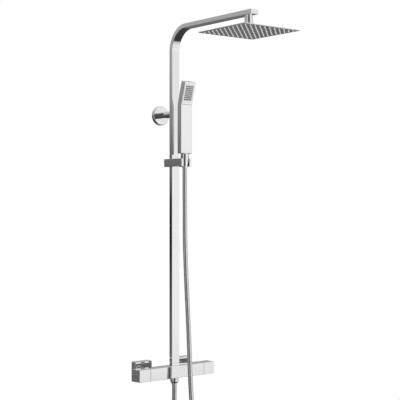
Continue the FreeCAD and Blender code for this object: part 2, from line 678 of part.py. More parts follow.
def make_slider():
    """The block that slides on the riser, its plastic bush, and the forked holder with its liner."""
    block = box("slider_block", ("-slider_width / 2", "-wall_gap - slider_front", SLIDER_LOW),
                ("slider_width", "slider_front + slider_back", "slider_tall"))
    block = rounded("slider_rounded", block, "edge_round", along(2))
    bush = ("(riser_width + 2 * play + 2 * bush_wall)", "(riser_depth + 2 * play + 2 * bush_wall)")
    window = box("slider_window", (f"-{bush[0]} / 2", f"-wall_gap - {bush[1]} / 2", SLIDER_LOW),
                 (*bush, "slider_tall"))
    seat = rod("slider_seat", (0, HANDSET_Y, SLIDER_LOW), "up", "holder_radius", "slider_tall")
    tap = rod("slider_tap", (0, "-wall_gap + slider_back", "slider_height"), "out",
              "pinch_radius + fit", f"slider_back - {bush[1]} / 2")
    keep(cut("slider_cut", block, window, seat, tap), "slider_body")
    outer = [f"{side} - 2 * fit" for side in bush]
    inner = ("riser_width + 2 * play", "riser_depth + 2 * play")
    keep(padded("slider_bush", (0, "-wall_gap", SLIDER_LOW), "XY_Plane",
                [rectangle(*outer), rectangle(*inner)], "slider_tall"), "slider_bush")
    keep(rod("slider_screw_rod", (0, "-wall_gap + slider_back", "slider_height"), "out",
             "pinch_radius", f"slider_back - {bush[1]} / 2"), "slider_screw")
    low = cone_radius(f"{SLIDER_LOW} - {CONE_FOOT}")
    high = cone_radius(f"{SLIDER_LOW} + slider_tall - {CONE_FOOT}")
    liner = turned("slider_liner_turned", (0, HANDSET_Y, SLIDER_LOW), "up", [
        (f"{low} + play", 0), ("holder_radius - fit", 0), ("holder_radius - fit", "slider_tall"),
        (f"{high} + play", "slider_tall"),
    ])
    mouth = box("slider_liner_mouth", ("-liner_mouth", f"{HANDSET_Y} - 2 * holder_radius", SLIDER_LOW),
                ("2 * liner_mouth", "2 * holder_radius", "slider_tall"))
    front = box("slider_liner_front", ("-slider_width", f"-wall_gap - slider_front - slider_width",
                                       SLIDER_LOW),
                ("2 * slider_width", "slider_width", "slider_tall"))
    keep(cut("slider_liner_cut", liner, mouth, front), "slider_liner")


# ---------------------------------------------------------------- handset

FRONT = f"({HANDSET_Y} - handset_thick / 2)"


def tilted(name, start, lift, width, length, depth):
    """A block on the tilted front: from a distance along it, and a depth below its surface."""
    block = doc.addObject("Part::Box", name)
    bind(block, Length=width, Width=depth, Height=length)
    sine, cosine = "sin(spray_tilt * 1 deg)", "cos(spray_tilt * 1 deg)"
    turn = FreeCAD.Rotation(FreeCAD.Vector(1, 0, 0), number_of("spray_tilt"))
    block.Placement = FreeCAD.Placement(FreeCAD.Vector(0, 0, 0), turn)
    bind(block, **{
        "Placement.Rotation.Angle": "spray_tilt",
        "Placement.Base.x": f"-({width}) / 2",
        "Placement.Base.y": f"{FRONT} - ({start}) * {sine} + ({lift}) * {cosine}",
        "Placement.Base.z": f"handset_bend + ({start}) * {cosine} + ({lift}) * {sine}",
    })
    return block


def make_handset():
    """The stick handset: body, front cover, nozzle pad and threaded spigot."""
    sine, cosine = "sin(spray_tilt * 1 deg)", "cos(spray_tilt * 1 deg)"
    back_bend = "(handset_bend + handset_thick * tan(spray_tilt / 2 * 1 deg))"
    back = f"({FRONT} + handset_thick)"
    top_y = f"({FRONT} - spray_length * {sine})"
    top_z = f"(handset_bend + spray_length * {cosine})"
    outline = [
        (FRONT, "handset_foot"), (back, "handset_foot"), (back, back_bend),
        (f"{top_y} + handset_thick * {cosine}", f"{top_z} + handset_thick * {sine}"),
        (top_y, top_z), (FRONT, "handset_bend"),
    ]
    solid = padded("handset_solid", ("-handset_width / 2", 0, 0), "YZ_Plane", [outline],
                   "handset_width")
    solid = rounded("handset_rounded", solid, "2 * edge_round",
                    lambda edge: edge.BoundBox.XLength < 1e-6 and edge.BoundBox.ZLength > 20)
    face = ("(handset_width - 2 * face_inset)", "(spray_length - face_inset - 2)")
    recess = tilted("handset_recess", 2, 0, face[0], face[1], "face_thick + pad_flange")
    chamber = tilted("handset_chamber", "pad_start", "face_thick", "pad_width", "pad_length",
                     "handset_thick - face_thick - 3")
    way = rod("handset_way", (0, HANDSET_Y, "handset_foot"), "up", "water_way",
              "handset_bend + pad_start + 8 - handset_foot")
    thread = rod("handset_thread", (0, HANDSET_Y, "handset_foot"), "up", "handset_thick / 2 - 2 + fit",
                 "spigot_inside")
    keep(cut("handset_body_cut", solid, recess, chamber, way, thread), "handset_body")

    cover = tilted("handset_cover_block", "2 + fit", 0, f"{face[0]} - 2 * fit", f"{face[1]} - 2 * fit",
                   "face_thick")
    window = tilted("handset_cover_window", "pad_start", 0, "pad_width", "pad_length", "face_thick")
    keep(cut("handset_cover_cut", cover, window), "handset_face")
    raised = tilted("handset_pad_raised", "pad_start + fit", "0.4", "pad_width - 2 * fit",
                    "pad_length - 2 * fit", "face_thick + pad_flange - 0.4")
    flange = tilted("handset_pad_flange", "pad_start - 3", "face_thick", "pad_width + 4",
                    "pad_length + 6", "pad_flange")
    keep(join("handset_pad_joined", raised, flange), "handset_nozzle_pad")
    keep(turned("handset_spigot", (0, HANDSET_Y, "handset_foot"), "down", [
        ("spigot_bore", "-spigot_inside"), ("spigot_bore", "spigot_length"),
        ("spigot_radius", "spigot_length"), ("spigot_radius", 0), ("handset_thick / 2 - 2", 0),
        ("handset_thick / 2 - 2", "-spigot_inside"),
    ]), "handset_spigot")


# ---------------------------------------------------------------- hose

def make_hose_ends():
    """What the hose is joined by: the cone nut above, and the nipple and nut below."""
    wide = "(spigot_radius + play)"
    narrow = "(ferrule_radius + fit)"
    shelf = "(cone_length - spigot_length - end_washer - end_flange)"
    straight = "(cone_length - cone_rim)"
    keep(turned("cone_nut", (0, HANDSET_Y, CONE_FOOT), "up", [
        (narrow, 0), ("cone_low", 0), ("cone_top", straight), ("cone_top", "cone_length - play"),
        (wide, "cone_length - play"), (wide, shelf), (narrow, shelf),
    ]), "cone_nut")
    washer = "(handset_foot - spigot_length - end_washer)"
    keep(ring("hose_washer_upper", (0, HANDSET_Y, washer), "up", "spigot_radius", "end_bore",
              "end_washer"), "hose_washer_upper")

    def ferrule(name, at, facing, long):
        """A ferrule: a flange against the washer, and a tube that closes round the hose."""
        keep(turned(name, at, facing, [
            ("end_bore", 0), ("spigot_radius", 0), ("spigot_radius", "end_flange"),
            ("ferrule_radius", "end_flange"), ("ferrule_radius", long), ("end_bore", long),
        ]), name)

    ferrule("ferrule_upper", (0, HANDSET_Y, washer), "down", "ferrule_upper")
    keep(turned("hose_outlet", (0, "-wall_gap", "-bar_side / 2"), "down", [
        ("outlet_bore", "-outlet_inside"), ("outlet_bore", "outlet_length"),
        ("outlet_radius", "outlet_length"), ("outlet_radius", "-outlet_inside"),
    ]), "hose_outlet")
    low = "(-bar_side / 2 - outlet_length)"
    keep(ring("hose_washer_lower", (0, "-wall_gap", low), "down", "spigot_radius", "end_bore",
              "end_washer"), "hose_washer_lower")
    ferrule("ferrule_lower", (0, "-wall_gap", f"{low} - end_washer"), "down", "ferrule_lower")
    ledge = "(outlet_length + end_washer + end_flange - hose_nut_gap)"
    keep(turned("hose_nut", (0, "-wall_gap", "-bar_side / 2 - hose_nut_gap"), "down", [
        ("outlet_radius + play", 0), ("hose_nut_radius", 0), ("hose_nut_radius", f"{ledge} - 2"),
        ("hose_nut_neck", f"{ledge} + 3"), ("ferrule_radius + fit", f"{ledge} + 3"),
        ("ferrule_radius + fit", ledge), ("outlet_radius + play", ledge),
    ]), "hose_nut")


# The hose's route: from the upper ferrule it hangs in front of the bar, turns under it in a wide loop
# and rises to the lower ferrule. The first and last points are the ferrules' ends.
HOSE_ROUTE = [
    (0, -128, 575), (1, -127, 500), (0, -129, 390), (3, -133, 260), (6, -140, 120), (7, -146, -20),
    (8, -157, -135), (9, -181, -257), (9, -199, -331), (8, -180, -380), (6, -136, -409),
    (5, -83, -407), (4, -41, -375), (2, -24, -325), (1, -35, -251), (1, -61, -172), (0, -76, -103),
]
HOSE_LENGTH = 1500


def hose_points():
    """The whole route, in millimetres, with its two ends on the ferrules."""
    column = -number_of("wall_gap")
    upper = number_of("handset_foot - spigot_length - end_washer - ferrule_upper")
    lower = number_of("-bar_side / 2 - outlet_length - end_washer - ferrule_lower")
    start = FreeCAD.Vector(0, column - number_of("holder_reach"), upper)
    end = FreeCAD.Vector(0, column, lower)
    return [start] + [FreeCAD.Vector(*point) for point in HOSE_ROUTE] + [end]


def hose_path(points):
    """Straight runs joined by tangent arcs, each as large as its two runs allow."""
    edges, radii = [], []
    start = points[0]
    for before, corner, after in zip(points, points[1:], points[2:]):
        back, ahead = before - corner, after - corner
        turn = math.pi - back.getAngle(ahead)
        shorter = min(back.Length, ahead.Length)
        tangent = 0.45 * shorter
        radius = tangent / math.tan(turn / 2)
        radii.append(radius)
        first = corner + back.normalize() * tangent
        last = corner + ahead.normalize() * tangent
        inward = (back + ahead).normalize()
        middle = corner + inward * (radius / math.cos(turn / 2) - radius)
        edges.append(Part.LineSegment(start, first).toShape())
        edges.append(Part.Arc(first, middle, last).toShape())
        start = last
    edges.append(Part.LineSegment(start, points[-1]).toShape())
    return Part.Wire(edges), radii


def make_hose():
    """The hose as one round tube along its route."""
    points = hose_points()
    path, radii = hose_path(points)
    radius = number_of("hose_radius")
    heading = points[1] - points[0]
    section = Part.Wire(Part.Circle(points[0], heading, radius).toShape())
    tube = path.makePipeShell([section], True, False)
    hose = doc.addObject("Part::Feature", "hose_tube")
    hose.Shape = tube
    keep(hose, "hose")
    expected = math.pi * radius ** 2 * path.Length
    print("hose radii", [round(value) for value in radii])
    print("hose length", round(path.Length, 1), "wanted", HOSE_LENGTH)
    print("hose volume", round(tube.Volume), "section x length", round(expected))
    if abs(tube.Volume / expected - 1) > 0.01:
        raise ValueError("the hose's volume doesn't match its section times its length")


# ---------------------------------------------------------------- build, check and write

make_valve_body()
for use, sign in (("diverter", -1), ("temperature", 1)):
    make_valve_end(use, sign)
inlets = [make_inlet(side, sign) for side, sign in (("left", -1), ("right", 1))]
keep(group("check_valve_pair", [check for check, washer in inlets]), "check_valves")
keep(group("inlet_filter_pair", [washer for check, washer in inlets]), "inlet_filters")
make_riser()
make_bracket()
make_head()
make_swivel()
make_slider()
make_handset()
make_hose_ends()
make_hose()

doc.recompute()
for thing in doc.Objects:
    if "Invalid" in thing.State or "Error" in thing.State:
        raise ValueError(f"{thing.Name} failed: {thing.State}")
os.makedirs("parts", exist_ok=True)
for thing in parts:
    shape = thing.Shape
    if shape.isNull() or not shape.isValid() or not shape.Solids:
        raise ValueError(f"{thing.Label} has no valid shape")
    wanted = len(thing.Links) if thing.TypeId == "Part::Compound" else 1
    if len(shape.Solids) != wanted:
        raise ValueError(f"{thing.Label} has {len(shape.Solids)} solids")
for thing in parts:
    thing.Shape.exportStep(f"parts/{thing.Label}.step")
print(len(parts), "parts written")
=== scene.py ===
"""Rainfall shower column: the finished pieces, their materials and a plain studio.

Every piece takes its size and place from the fixed frame, in metres: +X right along the wall,
+Y into the wall and +Z up, from a point on the wall between the two inlets.
"""

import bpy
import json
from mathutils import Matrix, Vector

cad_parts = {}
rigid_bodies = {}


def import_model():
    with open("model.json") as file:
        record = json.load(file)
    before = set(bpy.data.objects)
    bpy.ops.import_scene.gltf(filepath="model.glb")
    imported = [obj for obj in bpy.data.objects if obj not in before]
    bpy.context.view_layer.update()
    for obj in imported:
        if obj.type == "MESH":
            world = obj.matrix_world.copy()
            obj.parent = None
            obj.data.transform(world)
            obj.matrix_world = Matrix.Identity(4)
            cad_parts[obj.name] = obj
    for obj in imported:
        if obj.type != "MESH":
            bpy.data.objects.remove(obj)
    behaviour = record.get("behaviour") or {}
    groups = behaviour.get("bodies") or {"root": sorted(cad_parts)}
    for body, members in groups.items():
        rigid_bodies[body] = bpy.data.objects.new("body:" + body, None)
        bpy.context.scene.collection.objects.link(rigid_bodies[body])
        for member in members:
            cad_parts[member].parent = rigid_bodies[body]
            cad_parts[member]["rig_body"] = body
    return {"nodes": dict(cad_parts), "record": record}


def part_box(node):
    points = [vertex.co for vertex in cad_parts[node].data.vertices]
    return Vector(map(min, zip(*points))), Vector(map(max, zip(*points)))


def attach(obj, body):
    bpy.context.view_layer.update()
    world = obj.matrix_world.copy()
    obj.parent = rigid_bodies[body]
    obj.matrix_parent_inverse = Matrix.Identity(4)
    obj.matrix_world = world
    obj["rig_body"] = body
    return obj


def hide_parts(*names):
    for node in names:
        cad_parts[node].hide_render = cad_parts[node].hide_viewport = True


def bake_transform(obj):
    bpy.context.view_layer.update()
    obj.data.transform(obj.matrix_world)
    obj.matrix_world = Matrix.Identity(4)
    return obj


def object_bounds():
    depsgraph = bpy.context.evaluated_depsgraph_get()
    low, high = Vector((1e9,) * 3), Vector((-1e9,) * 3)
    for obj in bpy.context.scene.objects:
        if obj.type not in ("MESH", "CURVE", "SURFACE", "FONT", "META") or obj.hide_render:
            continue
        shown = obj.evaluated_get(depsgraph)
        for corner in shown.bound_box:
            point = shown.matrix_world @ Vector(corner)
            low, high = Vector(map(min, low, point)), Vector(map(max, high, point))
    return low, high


bl_info = {
    "name": "Rainfall shower column",
    "version": (1, 0, 0),
    "blender": (4, 5, 0),
    "location": "3D View > Sidebar > Shower",
    "description": "Builds the finished pieces of a rainfall shower column round its frame",
    "category": "Object",
}

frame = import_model()

import json
import math

import bmesh
import bpy
from bpy.props import FloatProperty, FloatVectorProperty, IntProperty, PointerProperty
from mathutils import Matrix, Vector

CAD_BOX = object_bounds()
MM = 0.001
FACING = {
    "up": Matrix.Identity(4),
    "down": Matrix.Rotation(math.pi, 4, "X"),
    "in": Matrix.Rotation(-math.pi / 2, 4, "X"),
    "out": Matrix.Rotation(math.pi / 2, 4, "X"),
    "right": Matrix.Rotation(math.pi / 2, 4, "Y"),
    "left": Matrix.Rotation(-math.pi / 2, 4, "Y"),
}
BODY_OF = {node: thing["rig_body"] for node, thing in frame["nodes"].items()}
SLOT_OF = {row["node"]: row["material_slot"] for row in frame["record"]["subparts"]}


# ---------------------------------------------------------------- sizes and colours

class ShowerSizes(bpy.types.PropertyGroup):
    """Sizes of the finish that a user may change."""
    edge: FloatProperty(
        name="Edge", description="Width of the rounded edge of the square pieces",
        default=0.9 * MM, min=0.1 * MM, max=2 * MM, unit="LENGTH")
    fine_edge: FloatProperty(
        name="Fine edge", description="Width of the rounded edge of the small pieces",
        default=0.35 * MM, min=0.05 * MM, max=1 * MM, unit="LENGTH")
    hose_pitch: FloatProperty(
        name="Hose pitch", description="Distance between two ridges of the wound hose",
        default=3.2 * MM, min=1.5 * MM, max=6 * MM, unit="LENGTH")
    ridge_depth: FloatProperty(
        name="Ridge depth", description="Depth of the groove between two ridges of the hose",
        default=0.5 * MM, min=0, max=1 * MM, unit="LENGTH")
    round_steps: IntProperty(
        name="Round steps", description="Steps round each turned piece",
        default=64, min=24, max=128)


class ShowerColours(bpy.types.PropertyGroup):
    """Colours of the finishes that a user may change."""
    chrome: FloatVectorProperty(
        name="Chrome", description="Polished plating", subtype="COLOR", default=(0.86, 0.86, 0.87))
    steel: FloatVectorProperty(
        name="Head steel", description="Polished sheet of the rain head", subtype="COLOR",
        default=(0.80, 0.80, 0.81))
    nozzle: FloatVectorProperty(
        name="Nozzles", description="Silicone of the nozzles", subtype="COLOR",
        default=(0.93, 0.93, 0.94))
    black: FloatVectorProperty(
        name="Black plastic", description="Holder's liner and bushes", subtype="COLOR",
        default=(0.02, 0.02, 0.022))
    floor: FloatVectorProperty(
        name="Floor", description="Pale studio floor", subtype="COLOR", default=(0.86, 0.86, 0.85))


# ---------------------------------------------------------------- materials

def surface_marks():
    """A node group: faint smudges and ripple of a handled surface, as colour, roughness and height."""
    name = "surface_marks"
    if name in bpy.data.node_groups:
        return bpy.data.node_groups[name]
    group = bpy.data.node_groups.new(name, "ShaderNodeTree")
    sockets = (
        ("Vector", "INPUT", "NodeSocketVector"), ("Colour", "INPUT", "NodeSocketColor"),
        ("Mark", "INPUT", "NodeSocketColor"), ("Scale", "INPUT", "NodeSocketFloat"),
        ("Smooth", "INPUT", "NodeSocketFloat"), ("Rough", "INPUT", "NodeSocketFloat"),
        ("Colour", "OUTPUT", "NodeSocketColor"), ("Roughness", "OUTPUT", "NodeSocketFloat"),
        ("Height", "OUTPUT", "NodeSocketFloat"),
    )
    for label, way, kind in sockets:
        group.interface.new_socket(name=label, in_out=way, socket_type=kind)
    nodes, links = group.nodes, group.links
    entry = nodes.new("NodeGroupInput")
    leave = nodes.new("NodeGroupOutput")
    clouds = nodes.new("ShaderNodeTexNoise")
    clouds.inputs["Detail"].default_value = 4
    clouds.inputs["Roughness"].default_value = 0.6
    grain = nodes.new("ShaderNodeTexNoise")
    grain.inputs["Detail"].default_value = 2
    finer = nodes.new("ShaderNodeMath")
    finer.operation = "MULTIPLY"
    finer.inputs[1].default_value = 14
    spread = nodes.new("ShaderNodeMapRange")
    spread.inputs["From Min"].default_value = 0.38
    spread.inputs["From Max"].default_value = 0.68
    rough = nodes.new("ShaderNodeMapRange")
    mix = nodes.new("ShaderNodeMix")
    mix.data_type = "RGBA"
    links.new(entry.outputs["Vector"], clouds.inputs["Vector"])
    links.new(entry.outputs["Scale"], clouds.inputs["Scale"])
    links.new(entry.outputs["Vector"], grain.inputs["Vector"])
    links.new(entry.outputs["Scale"], finer.inputs[0])
    links.new(finer.outputs[0], grain.inputs["Scale"])
    links.new(clouds.outputs["Fac"], spread.inputs["Value"])
    links.new(spread.outputs["Result"], rough.inputs["Value"])
    links.new(entry.outputs["Smooth"], rough.inputs["To Min"])
    links.new(entry.outputs["Rough"], rough.inputs["To Max"])
    links.new(spread.outputs["Result"], mix.inputs["Factor"])
    links.new(entry.outputs["Colour"], mix.inputs["A"])
    links.new(entry.outputs["Mark"], mix.inputs["B"])
    links.new(mix.outputs["Result"], leave.inputs["Colour"])
    links.new(rough.outputs["Result"], leave.inputs["Roughness"])
    links.new(grain.outputs["Fac"], leave.inputs["Height"])
    return group


def marked(name, colour, mark, metal, smooth, rough, scale=18, bump=0.0, stretch=(1, 1, 1)):
    """A material whose colour and roughness vary by the surface marks."""
    if name in bpy.data.materials:
        return bpy.data.materials[name]
    material = bpy.data.materials.new(name)
    material.use_nodes = True
    nodes, links = material.node_tree.nodes, material.node_tree.links
    shader = nodes["Principled BSDF"]
    shader.inputs["Metallic"].default_value = metal
    place = nodes.new("ShaderNodeTexCoord")
    mapping = nodes.new("ShaderNodeMapping")
    mapping.inputs["Scale"].default_value = stretch
    marks = nodes.new("ShaderNodeGroup")
    marks.node_tree = surface_marks()
    marks.inputs["Colour"].default_value = (*colour, 1)
    marks.inputs["Mark"].default_value = (*mark, 1)
    marks.inputs["Scale"].default_value = scale
    marks.inputs["Smooth"].default_value = smooth
    marks.inputs["Rough"].default_value = rough
    links.new(place.outputs["Object"], mapping.inputs["Vector"])
    links.new(mapping.outputs["Vector"], marks.inputs["Vector"])
    links.new(marks.outputs["Colour"], shader.inputs["Base Color"])
    links.new(marks.outputs["Roughness"], shader.inputs["Roughness"])
    if bump:
        ripple = nodes.new("ShaderNodeBump")
        ripple.inputs["Strength"].default_value = bump
        ripple.inputs["Distance"].default_value = 0.2 * MM
        links.new(marks.outputs["Height"], ripple.inputs["Height"])
        links.new(ripple.outputs["Normal"], shader.inputs["Normal"])
    return material


def darker(colour, share):
    return tuple(value * share for value in colour)


def colours():
    return bpy.context.scene.shower_colours


def sizes():
    return bpy.context.scene.shower_sizes


def chrome():
    base = tuple(colours().chrome)
    return marked("polished chrome", base, darker(base, 0.965), 1, 0.035, 0.075, scale=9)


def head_steel():
    base = tuple(colours().steel)
    return marked("polished head steel", base, darker(base, 0.95), 1, 0.07, 0.13, scale=12)


def hose_metal():
    base = darker(tuple(colours().chrome), 0.84)
    return marked("wound hose metal", base, darker(base, 0.88), 1, 0.12, 0.22, scale=60, bump=0.05)


def plain_steel():
    return marked("plain stainless steel", (0.60, 0.60, 0.61), (0.50, 0.50, 0.51), 1, 0.25, 0.42,
                  scale=40, bump=0.1, stretch=(1, 1, 12))


def brass():
    return marked("plated brass", (0.66, 0.65, 0.62), (0.55, 0.54, 0.50), 1, 0.22, 0.38, scale=50,
                  bump=0.08)


def cream_plastic():
    return marked("cartridge plastic", (0.78, 0.76, 0.70), (0.70, 0.68, 0.62), 0, 0.35, 0.5, scale=60,
                  bump=0.06)


def black_plastic():
    base = tuple(colours().black)
    return marked("black satin plastic", base, darker(base, 1.8), 0, 0.3, 0.48, scale=80, bump=0.08)


def seal_rubber():
    return marked("seal rubber", (0.025, 0.025, 0.025), (0.045, 0.045, 0.045), 0, 0.55, 0.75,
                  scale=90, bump=0.15)


def nozzle_silicone():
    base = tuple(colours().nozzle)
    return marked("nozzle silicone", base, darker(base, 0.85), 0, 0.38, 0.55, scale=70, bump=0.08)


def pad_silicone():
    return marked("handset pad silicone", (0.50, 0.50, 0.51), (0.42, 0.42, 0.43), 0, 0.4, 0.55,
                  scale=80, bump=0.08)


def jet_silicone():
    return marked("handset jet silicone", (0.035, 0.035, 0.037), (0.06, 0.06, 0.063), 0, 0.4, 0.6,
                  scale=90, bump=0.1)


FINISHES = {
    "chrome": chrome, "head_steel": head_steel, "hose_metal": hose_metal, "stainless": plain_steel,
    "brass": brass, "cartridge_plastic": cream_plastic, "dark_plastic": black_plastic,
    "seal_rubber": seal_rubber, "nozzle_silicone": nozzle_silicone,
}


# ---------------------------------------------------------------- mesh helpers

def sharp_edges(bm, angle=math.radians(30)):
    """Edges between two faces that meet at more than an angle."""
    return [edge for edge in bm.edges if edge.is_manifold and edge.calc_face_angle(0) > angle]


def soften(bm, width, segments=3):
    """Round every sharp edge."""
    bmesh.ops.bevel(bm, geom=sharp_edges(bm), offset=width, offset_type="OFFSET", affect="EDGES",
                    segments=segments, profile=0.5, material=-1, clamp_overlap=True)


def block(low, high):
    """A bmesh block between two corners."""
    bm = bmesh.new()
    bmesh.ops.create_cube(bm, size=1)
    low, high = Vector(low), Vector(high)
    bmesh.ops.scale(bm, vec=high - low, verts=bm.verts)
    bmesh.ops.translate(bm, vec=(low + high) / 2, verts=bm.verts)
    return bm


def lathe(profile, at, facing, steps=None, closed=True):
    """A turned bmesh: (radius, distance) corners spun about an axis that starts at a point."""
    bm = bmesh.new()
    points = [bm.verts.new((radius, 0, distance)) for radius, distance in profile]
    edges = [bm.edges.new(pair) for pair in zip(points, points[1:])]
    if closed:
        edges.append(bm.edges.new((points[-1], points[0])))
    bmesh.ops.spin(bm, geom=points + edges, cent=(0, 0, 0), axis=(0, 0, 1), dvec=(0, 0, 0),
                   angle=2 * math.pi, steps=steps or sizes().round_steps, use_merge=True,
                   use_normal_flip=False, use_duplicate=False)
    bmesh.ops.remove_doubles(bm, verts=bm.verts, dist=1e-6)
    bmesh.ops.transform(bm, matrix=Matrix.Translation(at) @ FACING[facing], verts=bm.verts)
    return bm


def prism(outlines, height, matrix):
    """An outline, less the outlines inside it, drawn flat and raised, then put in its place."""
    bm = bmesh.new()
    edges = []
    for outline in outlines:
        points = [bm.verts.new((u, v, 0)) for u, v in outline]
        edges += [bm.edges.new(pair) for pair in zip(points, points[1:] + points[:1])]
    flat = bmesh.ops.triangle_fill(bm, use_beauty=True, use_dissolve=False, edges=edges)
    faces = [item for item in flat["geom"] if isinstance(item, bmesh.types.BMFace)]
    top = bmesh.ops.extrude_face_region(bm, geom=faces, use_keep_orig=True)
    raised = [item for item in top["geom"] if isinstance(item, bmesh.types.BMVert)]
    bmesh.ops.translate(bm, vec=(0, 0, height), verts=raised)
    bmesh.ops.transform(bm, matrix=matrix, verts=bm.verts)
    return bm


def rectangle(width, depth, corner=0.0, steps=4):
    """A rectangle about the origin, with round corners if it has a corner radius."""
    u, v = width / 2, depth / 2
    if not corner:
        return [(-u, -v), (u, -v), (u, v), (-u, v)]
    points = []
    for index, (side, way) in enumerate(((1, 1), (-1, 1), (-1, -1), (1, -1))):
        for step in range(steps + 1):
            angle = math.pi / 2 * (index + step / steps)
            points.append((side * (u - corner) + corner * math.cos(angle),
                           way * (v - corner) + corner * math.sin(angle)))
    return points


def circle(radius, steps=48, centre=(0, 0)):
    """A circle's points."""
    angles = [2 * math.pi * step / steps for step in range(steps)]
    return [(centre[0] + radius * math.cos(a), centre[1] + radius * math.sin(a)) for a in angles]


def add_to(bm, other):
    """Move one bmesh's faces into another."""
    spare = bpy.data.meshes.new("spare")
    other.to_mesh(spare)
    other.free()
    bm.from_mesh(spare)
    bpy.data.meshes.remove(spare)
    return bm


def finish(name, bm, material, node, smooth=math.radians(35), extra=()):
    """Make a piece of a bmesh; it stands for a CAD node and rides on that node's body."""
    bmesh.ops.recalc_face_normals(bm, faces=bm.faces)
    mesh = bpy.data.meshes.new(name)
    bm.to_mesh(mesh)
    bm.free()
    for face in mesh.polygons:
        face.use_smooth = True
    mesh.set_sharp_from_angle(angle=smooth)
    for item in (material, *extra):
        mesh.materials.append(item)
    piece = bpy.data.objects.new(name, mesh)
    bpy.context.scene.collection.objects.link(piece)
    flat = piece.modifiers.new("flat faces", "WEIGHTED_NORMAL")
    flat.keep_sharp = True
    flat.weight = 100
    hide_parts(node)
    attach(piece, BODY_OF[node])
    return piece


def turned(name, profile, at, facing, node, width=None):
    """A turned piece with its sharp edges rounded."""
    bm = lathe(profile, at, facing)
    bmesh.ops.recalc_face_normals(bm, faces=bm.faces)
    soften(bm, sizes().fine_edge if width is None else width, 2)
    return finish(name, bm, FINISHES[SLOT_OF[node]](), node)


def span(node):
    """A node's lowest and highest corners, and its centre."""
    low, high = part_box(node)
    return low, high, (low + high) / 2


# ---------------------------------------------------------------- bar valve and inlets

HANDLE_WALL = 2.5 * MM
HANDLE_END = 16 * MM


def make_valve():
    """The bar: a square body, a hollow handle at each end, and the index caps."""
    low, high, centre = span("valve_body")
    bm = block(low, high)
    soften(bm, sizes().edge)
    finish("valve_body_finish", bm, chrome(), "valve_body")
    for use, sign in (("diverter", -1), ("temperature", 1)):
        low, high, centre = span(use + "_handle")
        bm = block(low, high)
        bm.faces.ensure_lookup_table()
        edge = centre.x * sign - 10 * MM
        inner = [face for face in bm.faces if face.calc_center_median().x * sign < edge]
        bmesh.ops.inset_individual(bm, faces=inner, thickness=HANDLE_WALL, depth=0,
                                   use_even_offset=True)
        inward = bmesh.ops.extrude_discrete_faces(bm, faces=inner)["faces"]
        corners = {vert for face in inward for vert in face.verts}
        depth = (high.x - low.x) - HANDLE_END
        bmesh.ops.translate(bm, vec=(sign * depth, 0, 0), verts=list(corners))
        bmesh.ops.recalc_face_normals(bm, faces=bm.faces)
        soften(bm, sizes().edge)
        finish(use + "_handle_finish", bm, chrome(), use + "_handle")
        low, high, centre = span(use + "_cap")
        radius = (high.y - low.y) / 2
        thick = high.x - low.x
        start = (low.x if sign > 0 else high.x, centre.y, centre.z)
        profile = [(0, 0), (radius, 0), (radius, thick + 0.1 * MM), (radius * 0.8, thick + 0.4 * MM),
                   (radius * 0.72, thick + 0.15 * MM), (0, thick + 0.15 * MM)]
        turned(use + "_cap_finish", profile, start, "right" if sign > 0 else "left", use + "_cap",
               width=0.1 * MM)


def make_inlets():
    """Six-sided union nuts, bored to fit the unions behind them."""
    for side in ("left", "right"):
        low, high, centre = span("inlet_nut_" + side)
        length = high.y - low.y
        corner = (high.x - low.x) / 2
        bore = (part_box("inlet_union_" + side)[1].x - centre.x) + 0.15 * MM
        bm = prism([circle(corner, 6), circle(bore, 48)], length,
                   Matrix.Translation((centre.x, low.y, centre.z)) @ FACING["in"])
        bmesh.ops.recalc_face_normals(bm, faces=bm.faces)
        soften(bm, 0.8 * MM, 3)
        finish(f"inlet_nut_{side}_finish", bm, chrome(), "inlet_nut_" + side)


# ---------------------------------------------------------------- riser, arm and wall bracket

TUBE_WALL = 1.5 * MM
CORNER = 1.0 * MM
PLUG_PLATE = 2 * MM
BEND_STEPS = 28
JOINT_GAP = 0.35 * MM


def tube_loops(bm, width, depth, matrix):
    """Edges of a tube's section: the outer outline and the inner one."""
    edges = []
    for outline in (rectangle(width, depth, CORNER),
                    rectangle(width - 2 * TUBE_WALL, depth - 2 * TUBE_WALL, CORNER / 2)):
        points = [bm.verts.new(matrix @ Vector((u, v, 0))) for u, v in outline]
        edges.append([bm.edges.new(pair) for pair in zip(points, points[1:] + points[:1])])
    return edges


def pull(bm, edges, vector):
    """Extend open edges along a vector; the new edges are returned."""
    grown = bmesh.ops.extrude_edge_only(bm, edges=edges)["geom"]
    points = [item for item in grown if isinstance(item, bmesh.types.BMVert)]
    bmesh.ops.translate(bm, vec=vector, verts=points)
    ends = set(points)
    return [edge for edge in bm.edges if edge.is_boundary and set(edge.verts) <= ends]


